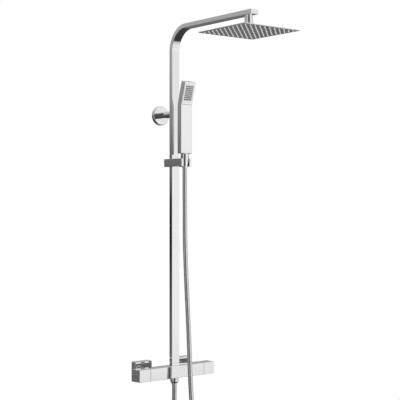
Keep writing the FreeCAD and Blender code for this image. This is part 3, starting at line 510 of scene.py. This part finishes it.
def make_riser():
    """Two rectangular tubes, one above the other; the upper one bends forward into the arm."""
    low, high, centre = span("riser_lower")
    width, depth = high.x - low.x, high.y - low.y
    bm = bmesh.new()
    loops = tube_loops(bm, width, depth, Matrix.Translation((centre.x, centre.y, low.z)))
    bmesh.ops.bridge_loops(bm, edges=loops[0] + loops[1])
    ends = [pull(bm, loop, (0, 0, high.z - low.z - JOINT_GAP)) for loop in loops]
    bmesh.ops.bridge_loops(bm, edges=ends[0] + ends[1])
    finish("riser_lower_finish", bm, chrome(), "riser_lower")

    low, high, _ = span("riser_upper")
    bend = bend_radius(depth)
    bm = bmesh.new()
    loops = tube_loops(bm, width, depth, Matrix.Translation((centre.x, centre.y, low.z)))
    bmesh.ops.bridge_loops(bm, edges=loops[0] + loops[1])
    pivot = Vector((centre.x, centre.y - bend, high.z - depth / 2 - bend))
    ends = []
    for loop in loops:
        edges = pull(bm, loop, (0, 0, pivot.z - low.z))
        points = list({vert for edge in edges for vert in edge.verts})
        turned_loop = bmesh.ops.spin(bm, geom=points + edges, cent=pivot, axis=(1, 0, 0),
                                     dvec=(0, 0, 0), angle=math.pi / 2, steps=BEND_STEPS, use_merge=False,
                                     use_normal_flip=False, use_duplicate=False)
        last = [item for item in turned_loop["geom_last"] if isinstance(item, bmesh.types.BMEdge)]
        ends.append(pull(bm, last, (0, low.y - pivot.y, 0)))
    bmesh.ops.bridge_loops(bm, edges=ends[0] + ends[1])
    finish("riser_upper_finish", bm, chrome(), "riser_upper")

    low, high, _ = span("arm_end_plug")
    plate = low.y + PLUG_PLATE
    bm = block((-width / 2, low.y, low.z), (width / 2, plate, high.z))
    soften(bm, 0.6 * MM)
    tongue = block((low.x + TUBE_WALL, plate, low.z + TUBE_WALL),
                   high - Vector((TUBE_WALL, 0, TUBE_WALL)))
    finish("arm_end_plug_finish", add_to(bm, tongue), chrome(), "arm_end_plug")


def bend_radius(depth):
    """Radius of the bend on the tube's centre line: the straight part ends where the arc starts."""
    mesh = frame["nodes"]["riser_upper"].data
    _, high, _ = span("riser_upper")
    back = high.y
    straight = max(vert.co.z for vert in mesh.vertices if abs(vert.co.y - back) < 1e-5)
    return high.z - straight - depth / 2


def make_bracket():
    """The round wall cover, the stay and its collar."""
    low, high, centre = span("bracket_cover")
    radius, depth = (high.x - low.x) / 2, high.y - low.y
    at = (centre.x, high.y, centre.z)
    stay_low, stay_high, _ = span("bracket_stay")
    stay = (stay_high.x - stay_low.x) / 2
    skin = 2 * MM
    profile = [(radius - skin, 0), (radius, 0), (radius, depth * 0.55)]
    for step in range(1, 7):
        angle = math.pi / 2 * step / 6
        profile.append((radius - skin * 1.6 * (1 - math.cos(angle)),
                        depth * 0.55 + depth * 0.45 * math.sin(angle)))
    profile += [(stay + 0.15 * MM, depth), (stay + 0.15 * MM, depth - skin),
                (radius - skin * 2.2, depth - skin), (radius - skin, depth * 0.5)]
    turned("bracket_cover_finish", profile, at, "out", "bracket_cover", width=0.3 * MM)
    length = stay_high.y - stay_low.y
    turned("bracket_stay_finish", [(0, 0), (stay, 0), (stay, length), (0, length)],
           (centre.x, stay_high.y, centre.z), "out", "bracket_stay")
    low, high, centre = span("bracket_collar")
    outer, long = (high.x - low.x) / 2, high.y - low.y
    turned("bracket_collar_finish",
           [(stay + 0.1 * MM, 0), (outer, 0), (outer, long * 0.6), (outer - 1 * MM, long),
            (stay + 0.1 * MM, long)], (centre.x, low.y, centre.z), "in", "bracket_collar")


# ---------------------------------------------------------------- rain head and swivel

def make_swivel():
    """The swivel nut with its gripping ring, the ball with its stem, and the boss."""
    low, high, centre = span("swivel_nut")
    radius, height = (high.x - low.x) / 2, high.z - low.z
    mouth, socket = 8.4 * MM, 11 * MM
    profile = [
        (mouth, 0), (radius - 0.8 * MM, 0), (radius, 0.8 * MM), (radius, 5.2 * MM),
        (radius - 1.2 * MM, 6.2 * MM), (radius - 1.2 * MM, height - 9 * MM),
        (radius - 2.1 * MM, height - 8 * MM), (radius - 2.1 * MM, height - 0.6 * MM),
        (radius - 2.5 * MM, height), (9.95 * MM, height),
        (9.95 * MM, height - 8 * MM), (socket, height - 8 * MM), (socket, 2.5 * MM), (mouth, 2.5 * MM),
    ]
    bm = lathe(profile, (centre.x, centre.y, low.z), "up")
    finish("swivel_nut_finish", bm, chrome(), "swivel_nut", smooth=math.radians(28))

    low, high, centre = span("swivel_ball")
    ball, bore = (high.x - low.x) / 2, 3 * MM
    middle = high.z - math.sqrt(ball ** 2 - bore ** 2)
    stem = 5 * MM
    first, last = math.asin(bore / ball), math.pi - math.asin(stem / ball)
    profile = []
    for step in range(25):
        angle = first + (last - first) * step / 24
        profile.append((ball * math.sin(angle), middle - low.z + ball * math.cos(angle)))
    profile += [(stem, 0), (bore, 0)]
    finish("swivel_ball_finish", lathe(profile, (centre.x, centre.y, low.z), "up"), chrome(),
           "swivel_ball")

    low, high, centre = span("head_boss")
    radius, height = (high.x - low.x) / 2, high.z - low.z
    profile = [(stem + 0.15 * MM, 0), (radius, 0), (radius, height * 0.28)]
    for step in range(9):
        angle = math.pi / 2 * step / 8
        profile.append((radius * 0.55 + radius * 0.43 * math.cos(angle),
                        height * 0.3 + height * 0.7 * math.sin(angle)))
    profile.append((stem + 0.15 * MM, height))
    finish("head_boss_finish", lathe(profile, (centre.x, centre.y, low.z), "up"), chrome(), "head_boss")


NOZZLES = 11


def nozzle_grid(side):
    """Centres of the nozzles, from the middle of the head."""
    pitch = side * 0.0865
    steps = [(index - (NOZZLES - 1) / 2) * pitch for index in range(NOZZLES)]
    return [(u, v) for u in steps for v in steps]


def make_head():
    """The head: a tray-shaped top sheet, the nozzle sheet, and the mat with its nozzles."""
    low, high, centre = span("head_top_plate")
    side, sheet = high.x - low.x, high.z - low.z
    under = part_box("nozzle_plate")[0].z
    at = Matrix.Translation((centre.x, centre.y, under))
    radius = 2.2 * MM

    bm = prism([rectangle(side, side, 2 * MM), circle(3 * MM, 24)], sheet,
               Matrix.Translation((centre.x, centre.y, low.z)))
    bmesh.ops.recalc_face_normals(bm, faces=bm.faces)
    soften(bm, 0.25 * MM, 2)
    rim = prism([rectangle(side, side, 2 * MM), rectangle(side - 1.4 * MM, side - 1.4 * MM, 1.3 * MM)],
                sheet - 0.04 * MM, Matrix.Translation((centre.x, centre.y, low.z - sheet + 0.02 * MM)))
    finish("head_top_finish", add_to(bm, rim), head_steel(), "head_top_plate")

    holes = [circle(radius + 0.15 * MM, 16, place) for place in nozzle_grid(side)]
    bm = prism([rectangle(side, side, 2 * MM)] + holes, sheet, at)
    bmesh.ops.recalc_face_normals(bm, faces=bm.faces)
    finish("nozzle_plate_finish", bm, head_steel(), "nozzle_plate")

    low, high, centre = span("nozzle_mat")
    half = (high.x - low.x) / 2
    bm = block((centre.x - half, centre.y - half, under + sheet),
               (centre.x + half, centre.y + half, under + 2 * sheet))
    stand = under - low.z
    for u, v in nozzle_grid(side):
        profile = [(0, 0.2 * MM), (0.6 * MM, 0.2 * MM), (0.6 * MM, 0), (radius * 0.62, 0),
                   (radius * 0.8, stand * 0.5), (radius, stand * 0.8), (radius, stand + sheet)]
        nozzle = lathe(profile, (centre.x + u, centre.y + v, low.z), "up", 14, closed=False)
        add_to(bm, nozzle)
    finish("nozzle_mat_finish", bm, nozzle_silicone(), "nozzle_mat")

    low, high, centre = span("head_gasket")
    inset = 0.8 * MM
    bm = prism([rectangle(side - 2 * inset, side - 2 * inset, 1.5 * MM),
                rectangle(side - 12 * MM, side - 12 * MM)], high.z - low.z,
               Matrix.Translation((centre.x, centre.y, low.z)))
    finish("head_gasket_finish", bm, seal_rubber(), "head_gasket")


# ---------------------------------------------------------------- slider

def make_slider():
    """The block: a window for the riser, and a round seat that opens to the front as a fork."""
    low, high, centre = span("slider_body")
    bush_low, bush_high, bush = span("slider_bush")
    seat = span("cone_nut")[2]
    radius = 14 * MM
    half = (high.x - low.x) / 2
    reach = seat.y - low.y
    start = math.acos(reach / radius)
    outline = [(-half, high.y), (-half, low.y)]
    steps = 40
    for step in range(steps + 1):
        angle = -math.pi / 2 - start - (2 * math.pi - 2 * start) * step / steps
        outline.append((radius * math.cos(angle), seat.y + radius * math.sin(angle)))
    outline += [(half, low.y), (half, high.y)]
    gap = 0.15 * MM
    window = [(u, v + bush.y) for u, v in rectangle(bush_high.x - bush_low.x + 2 * gap,
                                                    bush_high.y - bush_low.y + 2 * gap)]
    bm = prism([outline, window], high.z - low.z, Matrix.Translation((0, 0, low.z)))
    bmesh.ops.recalc_face_normals(bm, faces=bm.faces)
    soften(bm, sizes().edge * 0.7)
    finish("slider_body_finish", bm, chrome(), "slider_body")


# ---------------------------------------------------------------- handset

def tilt_matrix():
    """From flat drawing to the handset's tilted front: X across, Y up along it, Z out of it."""
    low, _, _ = span("handset_body")
    mesh = frame["nodes"]["handset_body"].data
    front_low = [vert.co.y for vert in mesh.vertices if vert.co.z < low.z + 1e-4]
    front = min(front_low)
    bend = max(vert.co.z for vert in mesh.vertices if abs(vert.co.y - front) < 2e-5)
    tip = min((vert.co.copy() for vert in mesh.vertices), key=lambda place: place.y)
    tilt = math.atan2(front - tip.y, tip.z - bend)
    origin = Vector((0, front, bend))
    across, along = Vector((1, 0, 0)), Vector((0, -math.sin(tilt), math.cos(tilt)))
    out = across.cross(along)
    turn = Matrix((across, along, out)).transposed().to_4x4()
    return Matrix.Translation(origin) @ turn, tilt, front, bend


def make_handset():
    """The stick handset: bent body, face cover, and the nozzle pad with its rows of jets."""
    low, high, centre = span("handset_body")
    frame_tilt, tilt, front, bend = tilt_matrix()
    mesh = frame["nodes"]["handset_body"].data
    foot_back = max(vert.co.y for vert in mesh.vertices if vert.co.z < low.z + 0.1 * MM)
    thick = foot_back - front
    long = (high.z - bend - thick * math.sin(tilt)) / math.cos(tilt)
    half = (high.x - low.x) / 2
    sine, cosine = math.sin(tilt), math.cos(tilt)
    top = Vector((front - long * sine, bend + long * cosine))
    outline = [
        (front, low.z), (foot_back, low.z), (foot_back, bend + thick * math.tan(tilt / 2)),
        (top.x + thick * cosine, top.y + thick * sine), (top.x, top.y), (front, bend),
    ]
    side_on = Matrix(((0, 0, 1, low.x), (1, 0, 0, 0), (0, 1, 0, 0), (0, 0, 0, 1)))
    bm = prism([outline], 2 * half, side_on)
    bmesh.ops.dissolve_limit(bm, angle_limit=math.radians(1), verts=bm.verts, edges=bm.edges,
                             use_dissolve_boundaries=False)
    bmesh.ops.recalc_face_normals(bm, faces=bm.faces)
    soften(bm, 2.2 * MM, 5)
    finish("handset_body_finish", bm, chrome(), "handset_body")

    proud = 0.45 * MM
    cover_width, cover_long, edge = 2 * half - 5.5 * MM, long - 4.5 * MM, 1.8 * MM
    pad_width, pad_long, start = 29 * MM, 47 * MM, 13 * MM
    middle = edge + cover_long / 2
    window = [(u, v + start + pad_long / 2) for u, v in rectangle(pad_width, pad_long, 1.2 * MM)]
    outer = [(u, v + middle) for u, v in rectangle(cover_width, cover_long, 2.5 * MM)]
    bm = prism([outer, window], proud + 1.5 * MM, frame_tilt @ Matrix.Translation((0, 0, -1.5 * MM)))
    bmesh.ops.recalc_face_normals(bm, faces=bm.faces)
    soften(bm, 0.3 * MM, 3)
    # A dark seal-rubber strip along the cover's lower end: a gap seal, and painted shade for the shadow
    # in the gap between the cover and the body.
    gap_seal_and_shade = block((-cover_width / 2, edge - 0.6 * MM, -1.2 * MM), (cover_width / 2, edge, 0.25 * MM))
    bmesh.ops.transform(gap_seal_and_shade, matrix=frame_tilt, verts=gap_seal_and_shade.verts)
    for face in gap_seal_and_shade.faces:
        face.material_index = 1
    finish("handset_face_finish", add_to(bm, gap_seal_and_shade), chrome(), "handset_face", extra=(seal_rubber(),))

    pad = [(u, v + start + pad_long / 2) for u, v in
           rectangle(pad_width - 0.3 * MM, pad_long - 0.3 * MM, 1 * MM)]
    bm = prism([pad], 1.6 * MM, frame_tilt @ Matrix.Translation((0, 0, -1.35 * MM)))
    rows, columns = 8, 6
    for row in range(rows):
        for column in range(columns):
            u = (column - (columns - 1) / 2) * 4.5 * MM
            v = start + pad_long / 2 + (row - (rows - 1) / 2) * 5.6 * MM
            profile = [(0, 0.6 * MM), (0.5 * MM, 0.6 * MM), (0.6 * MM, 0.9 * MM), (1.1 * MM, 0.8 * MM),
                       (1.9 * MM, 0), (0, 0)]
            jet = lathe(profile, (0, 0, 0), "up", 14, closed=False)
            place = frame_tilt @ Matrix.Translation((u, v, 0.2 * MM))
            bmesh.ops.transform(jet, matrix=place, verts=jet.verts)
            for face in jet.faces:
                face.material_index = 1
            add_to(bm, jet)
    finish("handset_pad_finish", bm, pad_silicone(), "handset_nozzle_pad", extra=(jet_silicone(),))


# ---------------------------------------------------------------- hose and its ends

def make_hose_ends():
    """The cone nut, the two ferrules and the hose nut under the bar."""
    low, high, centre = span("cone_nut")
    radius, height = (high.x - low.x) / 2, high.z - low.z
    straight, bore, wide = 26.6 * MM, 8.25 * MM, 9.6 * MM
    shelf = height - 18.3 * MM
    profile = [
        (bore, 0), (9.6 * MM, 0), (radius, straight), (radius, straight + 1.2 * MM),
        (radius - 0.5 * MM, straight + 1.6 * MM), (radius - 0.5 * MM, straight + 2.2 * MM),
        (radius, straight + 2.6 * MM), (radius, height - 0.8 * MM), (radius - 0.8 * MM, height),
        (wide, height), (wide, shelf), (bore, shelf),
    ]
    finish("cone_nut_finish", lathe(profile, (centre.x, centre.y, low.z), "up"), chrome(), "cone_nut",
           smooth=math.radians(28))
    for name, facing in (("ferrule_upper", "down"), ("ferrule_lower", "down")):
        low, high, centre = span(name)
        flange, outer, inner = (high.x - low.x) / 2, 8.1 * MM, 7.35 * MM
        length = high.z - low.z
        profile = [(4.5 * MM, 0), (flange, 0), (flange, 2 * MM), (outer, 2 * MM),
                   (outer, length - 0.5 * MM), (outer - 0.3 * MM, length), (inner, length),
                   (inner, 2 * MM), (4.5 * MM, 2 * MM)]
        finish(name + "_finish", lathe(profile, (centre.x, centre.y, high.z), facing), chrome(), name)
    low, high, centre = span("hose_washer_upper")
    washer = frame["nodes"]["hose_washer_upper"].data
    hole = min((vert.co - centre).to_2d().length for vert in washer.vertices)
    inner, outer, thick = hole + 0.12 * MM, (high.x - low.x) / 2, high.z - low.z - 0.1 * MM
    turned("hose_washer_upper_finish", [(inner, 0), (outer, 0), (outer, thick), (inner, thick)],
           (centre.x, centre.y, low.z), "up", "hose_washer_upper", width=0.15 * MM)
    low, high, centre = span("hose_nut")
    radius, height = (high.x - low.x) / 2, high.z - low.z
    bore, neck = 9.6 * MM, 8.25 * MM
    profile = [
        (bore, 0), (radius - 0.6 * MM, 0), (radius, 0.6 * MM), (radius, height * 0.72),
        (radius - 0.4 * MM, height * 0.78), (9.7 * MM, height), (neck, height), (neck, height - 3 * MM),
        (bore, height - 3 * MM),
    ]
    finish("hose_nut_finish", lathe(profile, (centre.x, centre.y, high.z), "down"), chrome(), "hose_nut",
           smooth=math.radians(28))


# The hose's route in metres, from inside the upper ferrule, down past the bar, round and up again.
HOSE_ROUTE = [
    (0, -0.128, 0.636), (0, -0.128, 0.612), (0, -0.128, 0.575), (0.001, -0.127, 0.500),
    (0, -0.129, 0.390), (0.003, -0.133, 0.260), (0.006, -0.140, 0.120), (0.007, -0.146, -0.020),
    (0.008, -0.157, -0.135), (0.009, -0.181, -0.257), (0.009, -0.199, -0.331),
    (0.008, -0.180, -0.380), (0.006, -0.136, -0.409), (0.005, -0.083, -0.407),
    (0.004, -0.041, -0.375), (0.002, -0.024, -0.325), (0.001, -0.035, -0.251),
    (0.001, -0.061, -0.172), (0, -0.076, -0.103), (0, -0.076, -0.040), (0, -0.076, -0.034),
]
HOSE_DIAMETER = 0.014


def hose_line():
    """Points along the route's smooth spline."""
    curve = bpy.data.curves.new("hose_line", "CURVE")
    curve.dimensions = "3D"
    spline = curve.splines.new("NURBS")
    spline.points.add(len(HOSE_ROUTE) - 1)
    for point, place in zip(spline.points, HOSE_ROUTE):
        point.co = (*place, 1)
    spline.order_u = 3
    spline.use_endpoint_u = True
    spline.resolution_u = 24
    holder = bpy.data.objects.new("hose_line", curve)
    bpy.context.scene.collection.objects.link(holder)
    mesh = bpy.data.meshes.new_from_object(holder)
    points = [vert.co.copy() for vert in mesh.vertices]
    bpy.data.objects.remove(holder)
    bpy.data.curves.remove(curve)
    bpy.data.meshes.remove(mesh)
    return points


def evenly(points, step):
    """Points at even steps along a line."""
    result = [points[0]]
    left = step
    for start, end in zip(points, points[1:]):
        length = (end - start).length
        while length > 1e-9 and left <= length:
            result.append(start.lerp(end, left / length))
            left += step
        left -= length
    return result


def make_hose():
    """The wound metal hose: a tube round its line, with a groove between each two ridges."""
    per_turn, sides = 4, 20
    line = evenly(hose_line(), sizes().hose_pitch / per_turn)
    bm = bmesh.new()
    rings = []
    heading = (line[1] - line[0]).normalized()
    across = heading.orthogonal().normalized()
    for index, place in enumerate(line):
        after = line[min(index + 1, len(line) - 1)]
        before = line[max(index - 1, 0)]
        new_heading = (after - before).normalized()
        across.rotate(heading.rotation_difference(new_heading))
        heading = new_heading
        turn = Matrix((across, heading.cross(across), heading)).transposed().to_4x4()
        groove = sizes().ridge_depth if index % per_turn == 0 else 0
        made = bmesh.ops.create_circle(bm, cap_ends=False, radius=HOSE_DIAMETER / 2 - groove,
                                       segments=sides, matrix=Matrix.Translation(place) @ turn)
        rings.append(made["verts"])
    for first, second in zip(rings, rings[1:]):
        for side in range(sides):
            after = (side + 1) % sides
            bm.faces.new((first[side], first[after], second[after], second[side]))
    for ring in (rings[0], rings[-1]):
        bm.faces.new(ring)
    bmesh.ops.recalc_face_normals(bm, faces=bm.faces)
    mesh = bpy.data.meshes.new("hose_finish")
    bm.to_mesh(mesh)
    bm.free()
    for face in mesh.polygons:
        face.use_smooth = True
    mesh.materials.append(hose_metal())
    hose = bpy.data.objects.new("hose_finish", mesh)
    bpy.context.scene.collection.objects.link(hose)
    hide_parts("hose")
    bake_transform(hose)


# ---------------------------------------------------------------- CAD nodes and studio

def finish_nodes():
    """Give every CAD node that shows the finish of its slot."""
    for node, thing in frame["nodes"].items():
        material = FINISHES[SLOT_OF[node]]()
        if not thing.data.materials:
            thing.data.materials.append(material)
        for slot in thing.material_slots:
            slot.material = material


def shade(nodes, links, value, low, high, first, last):
    """A smooth step from one value to another as an input goes from low to high."""
    step = nodes.new("ShaderNodeMapRange")
    step.interpolation_type = "SMOOTHSTEP"
    step.inputs["From Min"].default_value = low
    step.inputs["From Max"].default_value = high
    step.inputs["To Min"].default_value = first
    step.inputs["To Max"].default_value = last
    links.new(value, step.inputs["Value"])
    return step.outputs["Result"]


def combine(nodes, links, operation, first, second):
    node = nodes.new("ShaderNodeMath")
    node.operation = operation
    for index, item in enumerate((first, second)):
        if isinstance(item, (int, float)):
            node.inputs[index].default_value = item
        else:
            links.new(item, node.inputs[index])
    return node.outputs[0]


def ramp(nodes, links, value, stops):
    """A grey level that follows a direction's part from -1 to 1 through named stops."""
    half = combine(nodes, links, "MULTIPLY", combine(nodes, links, "ADD", value, 1.0), 0.5)
    node = nodes.new("ShaderNodeValToRGB")
    elements = node.color_ramp.elements
    while len(elements) < len(stops):
        elements.new(0.5)
    for element, (place, level) in zip(elements, stops):
        element.position = (place + 1) / 2
        element.color = (level, level, level, 1)
    links.new(half, node.inputs[0])
    return node.outputs["Color"]


# Brightness of the reflected room by height of the direction: behind the column and in front of it.
BEHIND = ((-1, 0.05), (-0.45, 0.05), (-0.30, 0.08), (-0.16, 0.16), (-0.09, 0.07), (-0.05, 0.012),
          (0.0, 0.02), (0.026, 0.15), (0.05, 0.17), (0.08, 0.25), (0.16, 0.42), (0.40, 0.45),
          (0.70, 0.72), (1, 0.8))
FRONT = ((-1, 0.05), (-0.62, 0.04), (-0.52, 0.70), (-0.32, 0.93), (-0.19, 0.87), (-0.11, 0.97),
         (0.02, 0.97), (0.12, 0.88), (0.50, 0.95), (1, 1))


def make_studio_light():
    """A room that only reflections see: bright in front, dim behind, with a dark gap between lights."""
    world = bpy.data.worlds.new("studio")
    bpy.context.scene.world = world
    world.use_nodes = True
    nodes, links = world.node_tree.nodes, world.node_tree.links
    nodes.clear()
    out = nodes.new("ShaderNodeOutputWorld")
    room = nodes.new("ShaderNodeBackground")
    plain = nodes.new("ShaderNodeBackground")
    plain.inputs["Color"].default_value = (1, 1, 1, 1)
    choose = nodes.new("ShaderNodeMixShader")
    rays = nodes.new("ShaderNodeLightPath")
    place = nodes.new("ShaderNodeTexCoord")
    parts = nodes.new("ShaderNodeSeparateXYZ")
    links.new(place.outputs["Generated"], parts.inputs[0])
    x, y, z = parts.outputs
    behind = shade(nodes, links, y, -0.30, 0.05, 0, 1)
    dim = ramp(nodes, links, z, BEHIND)
    front = ramp(nodes, links, z, FRONT)
    sideways = combine(nodes, links, "MULTIPLY", x, 0.788)
    forward = combine(nodes, links, "MULTIPLY", y, -0.616)
    offset = combine(nodes, links, "ABSOLUTE", combine(nodes, links, "ADD", sideways, forward), 0)
    gap = shade(nodes, links, offset, 0.30, 0.62, 0.10, 1.0)
    open_sky = shade(nodes, links, z, 0.55, 0.85, 0, 1)
    front = combine(nodes, links, "MULTIPLY", front, combine(nodes, links, "MAXIMUM", gap, open_sky))
    difference = combine(nodes, links, "SUBTRACT", dim, front)
    level = combine(nodes, links, "ADD", front, combine(nodes, links, "MULTIPLY", difference, behind))
    links.new(level, room.inputs["Color"])
    links.new(rays.outputs["Is Glossy Ray"], choose.inputs[0])
    links.new(plain.outputs[0], choose.inputs[1])
    links.new(room.outputs[0], choose.inputs[2])
    links.new(choose.outputs[0], out.inputs[0])


def area_light(name, place, aim, size, power):
    """A soft square light that the camera doesn't see."""
    light = bpy.data.lights.new(name, "AREA")
    light.size = size
    light.energy = power
    lamp = bpy.data.objects.new(name, light)
    lamp.location = place
    lamp.rotation_euler = (Vector(aim) - Vector(place)).to_track_quat("-Z", "Y").to_euler()
    lamp.visible_camera = False
    lamp.visible_glossy = False
    bpy.context.scene.collection.objects.link(lamp)


def make_stage():
    """Pale floor, soft light, and the camera in front and to the left of the column."""
    low, high = (Vector(corner) for corner in CAD_BOX)
    middle = (low + high) / 2
    bm = bmesh.new()
    bmesh.ops.create_circle(bm, cap_ends=True, radius=1.35, segments=96,
                            matrix=Matrix.Translation((middle.x, middle.y, low.z - 0.01)))
    mesh = bpy.data.meshes.new("floor")
    bm.to_mesh(mesh)
    bm.free()
    base = tuple(colours().floor)
    mesh.materials.append(marked("studio floor", base, darker(base, 0.97), 0, 0.7, 0.85, scale=3))
    floor = bpy.data.objects.new("floor", mesh)
    bpy.context.scene.collection.objects.link(floor)
    floor.visible_glossy = False
    make_studio_light()
    area_light("key", (2.2, -3.2, 2.6), (0, -0.1, 0.5), 2.4, 60)
    area_light("fill", (-2.6, -2.6, 1.6), (0, -0.1, 0.4), 2.2, 25)
    camera_data = bpy.data.cameras.new("camera")
    camera_data.sensor_width = 36
    camera_data.lens = 92.34
    camera = bpy.data.objects.new("camera", camera_data)
    camera.location = (-1.8547, -2.5749, 0.5190)
    camera.rotation_euler = (math.pi / 2, 0, -math.radians(38.014))
    bpy.context.scene.collection.objects.link(camera)
    bpy.context.scene.camera = camera
    bpy.context.scene.view_settings.view_transform = "Standard"


# ---------------------------------------------------------------- operators and panel

class SHOWER_OT_stage(bpy.types.Operator):
    """Floor, light and camera"""
    bl_idname = "shower.stage"
    bl_label = "Stage"

    def execute(self, context):
        make_stage()
        return {"FINISHED"}


class SHOWER_OT_nodes(bpy.types.Operator):
    """Finishes of the frame's own nodes"""
    bl_idname = "shower.nodes"
    bl_label = "Node finishes"

    def execute(self, context):
        finish_nodes()
        return {"FINISHED"}


class SHOWER_OT_valve(bpy.types.Operator):
    """Bar valve, handles and caps"""
    bl_idname = "shower.valve"
    bl_label = "Bar valve"

    def execute(self, context):
        make_valve()
        return {"FINISHED"}


class SHOWER_OT_inlets(bpy.types.Operator):
    """Nuts of the two inlets"""
    bl_idname = "shower.inlets"
    bl_label = "Inlets"

    def execute(self, context):
        make_inlets()
        return {"FINISHED"}


class SHOWER_OT_riser(bpy.types.Operator):
    """Riser tubes, arm and end plug"""
    bl_idname = "shower.riser"
    bl_label = "Riser and arm"

    def execute(self, context):
        make_riser()
        return {"FINISHED"}


class SHOWER_OT_bracket(bpy.types.Operator):
    """Wall bracket"""
    bl_idname = "shower.bracket"
    bl_label = "Wall bracket"

    def execute(self, context):
        make_bracket()
        return {"FINISHED"}


class SHOWER_OT_swivel(bpy.types.Operator):
    """Swivel between arm and head"""
    bl_idname = "shower.swivel"
    bl_label = "Swivel"

    def execute(self, context):
        make_swivel()
        return {"FINISHED"}


class SHOWER_OT_head(bpy.types.Operator):
    """Rain head with its nozzles"""
    bl_idname = "shower.head"
    bl_label = "Rain head"

    def execute(self, context):
        make_head()
        return {"FINISHED"}


class SHOWER_OT_slider(bpy.types.Operator):
    """Sliding holder"""
    bl_idname = "shower.slider"
    bl_label = "Slider"

    def execute(self, context):
        make_slider()
        return {"FINISHED"}


class SHOWER_OT_handset(bpy.types.Operator):
    """Stick handset"""
    bl_idname = "shower.handset"
    bl_label = "Handset"

    def execute(self, context):
        make_handset()
        return {"FINISHED"}


class SHOWER_OT_hose_ends(bpy.types.Operator):
    """Nuts and ferrules of the hose"""
    bl_idname = "shower.hose_ends"
    bl_label = "Hose ends"

    def execute(self, context):
        make_hose_ends()
        return {"FINISHED"}


class SHOWER_OT_hose(bpy.types.Operator):
    """Wound metal hose"""
    bl_idname = "shower.hose"
    bl_label = "Hose"

    def execute(self, context):
        make_hose()
        return {"FINISHED"}


OPERATORS = (
    SHOWER_OT_stage, SHOWER_OT_nodes, SHOWER_OT_valve, SHOWER_OT_inlets, SHOWER_OT_riser,
    SHOWER_OT_bracket, SHOWER_OT_swivel, SHOWER_OT_head, SHOWER_OT_slider, SHOWER_OT_handset,
    SHOWER_OT_hose_ends, SHOWER_OT_hose,
)


class SHOWER_PT_panel(bpy.types.Panel):
    """The pieces of the shower column, and their sizes and colours"""
    bl_label = "Shower column"
    bl_idname = "SHOWER_PT_panel"
    bl_space_type = "VIEW_3D"
    bl_region_type = "UI"
    bl_category = "Shower"

    def draw(self, context):
        for group in (context.scene.shower_sizes, context.scene.shower_colours):
            for name in group.__annotations__:
                self.layout.prop(group, name)
        for operator in OPERATORS:
            self.layout.operator(operator.bl_idname)


CLASSES = (ShowerSizes, ShowerColours, *OPERATORS, SHOWER_PT_panel)


def register():
    for item in CLASSES:
        bpy.utils.register_class(item)
    bpy.types.Scene.shower_sizes = PointerProperty(type=ShowerSizes)
    bpy.types.Scene.shower_colours = PointerProperty(type=ShowerColours)


def unregister():
    del bpy.types.Scene.shower_colours
    del bpy.types.Scene.shower_sizes
    for item in reversed(CLASSES):
        bpy.utils.unregister_class(item)


def main():
    """Build every piece in order."""
    register()
    for operator in OPERATORS:
        group, name = operator.bl_idname.split(".")
        getattr(getattr(bpy.ops, group), name)()


if __name__ == "__main__":
    main()
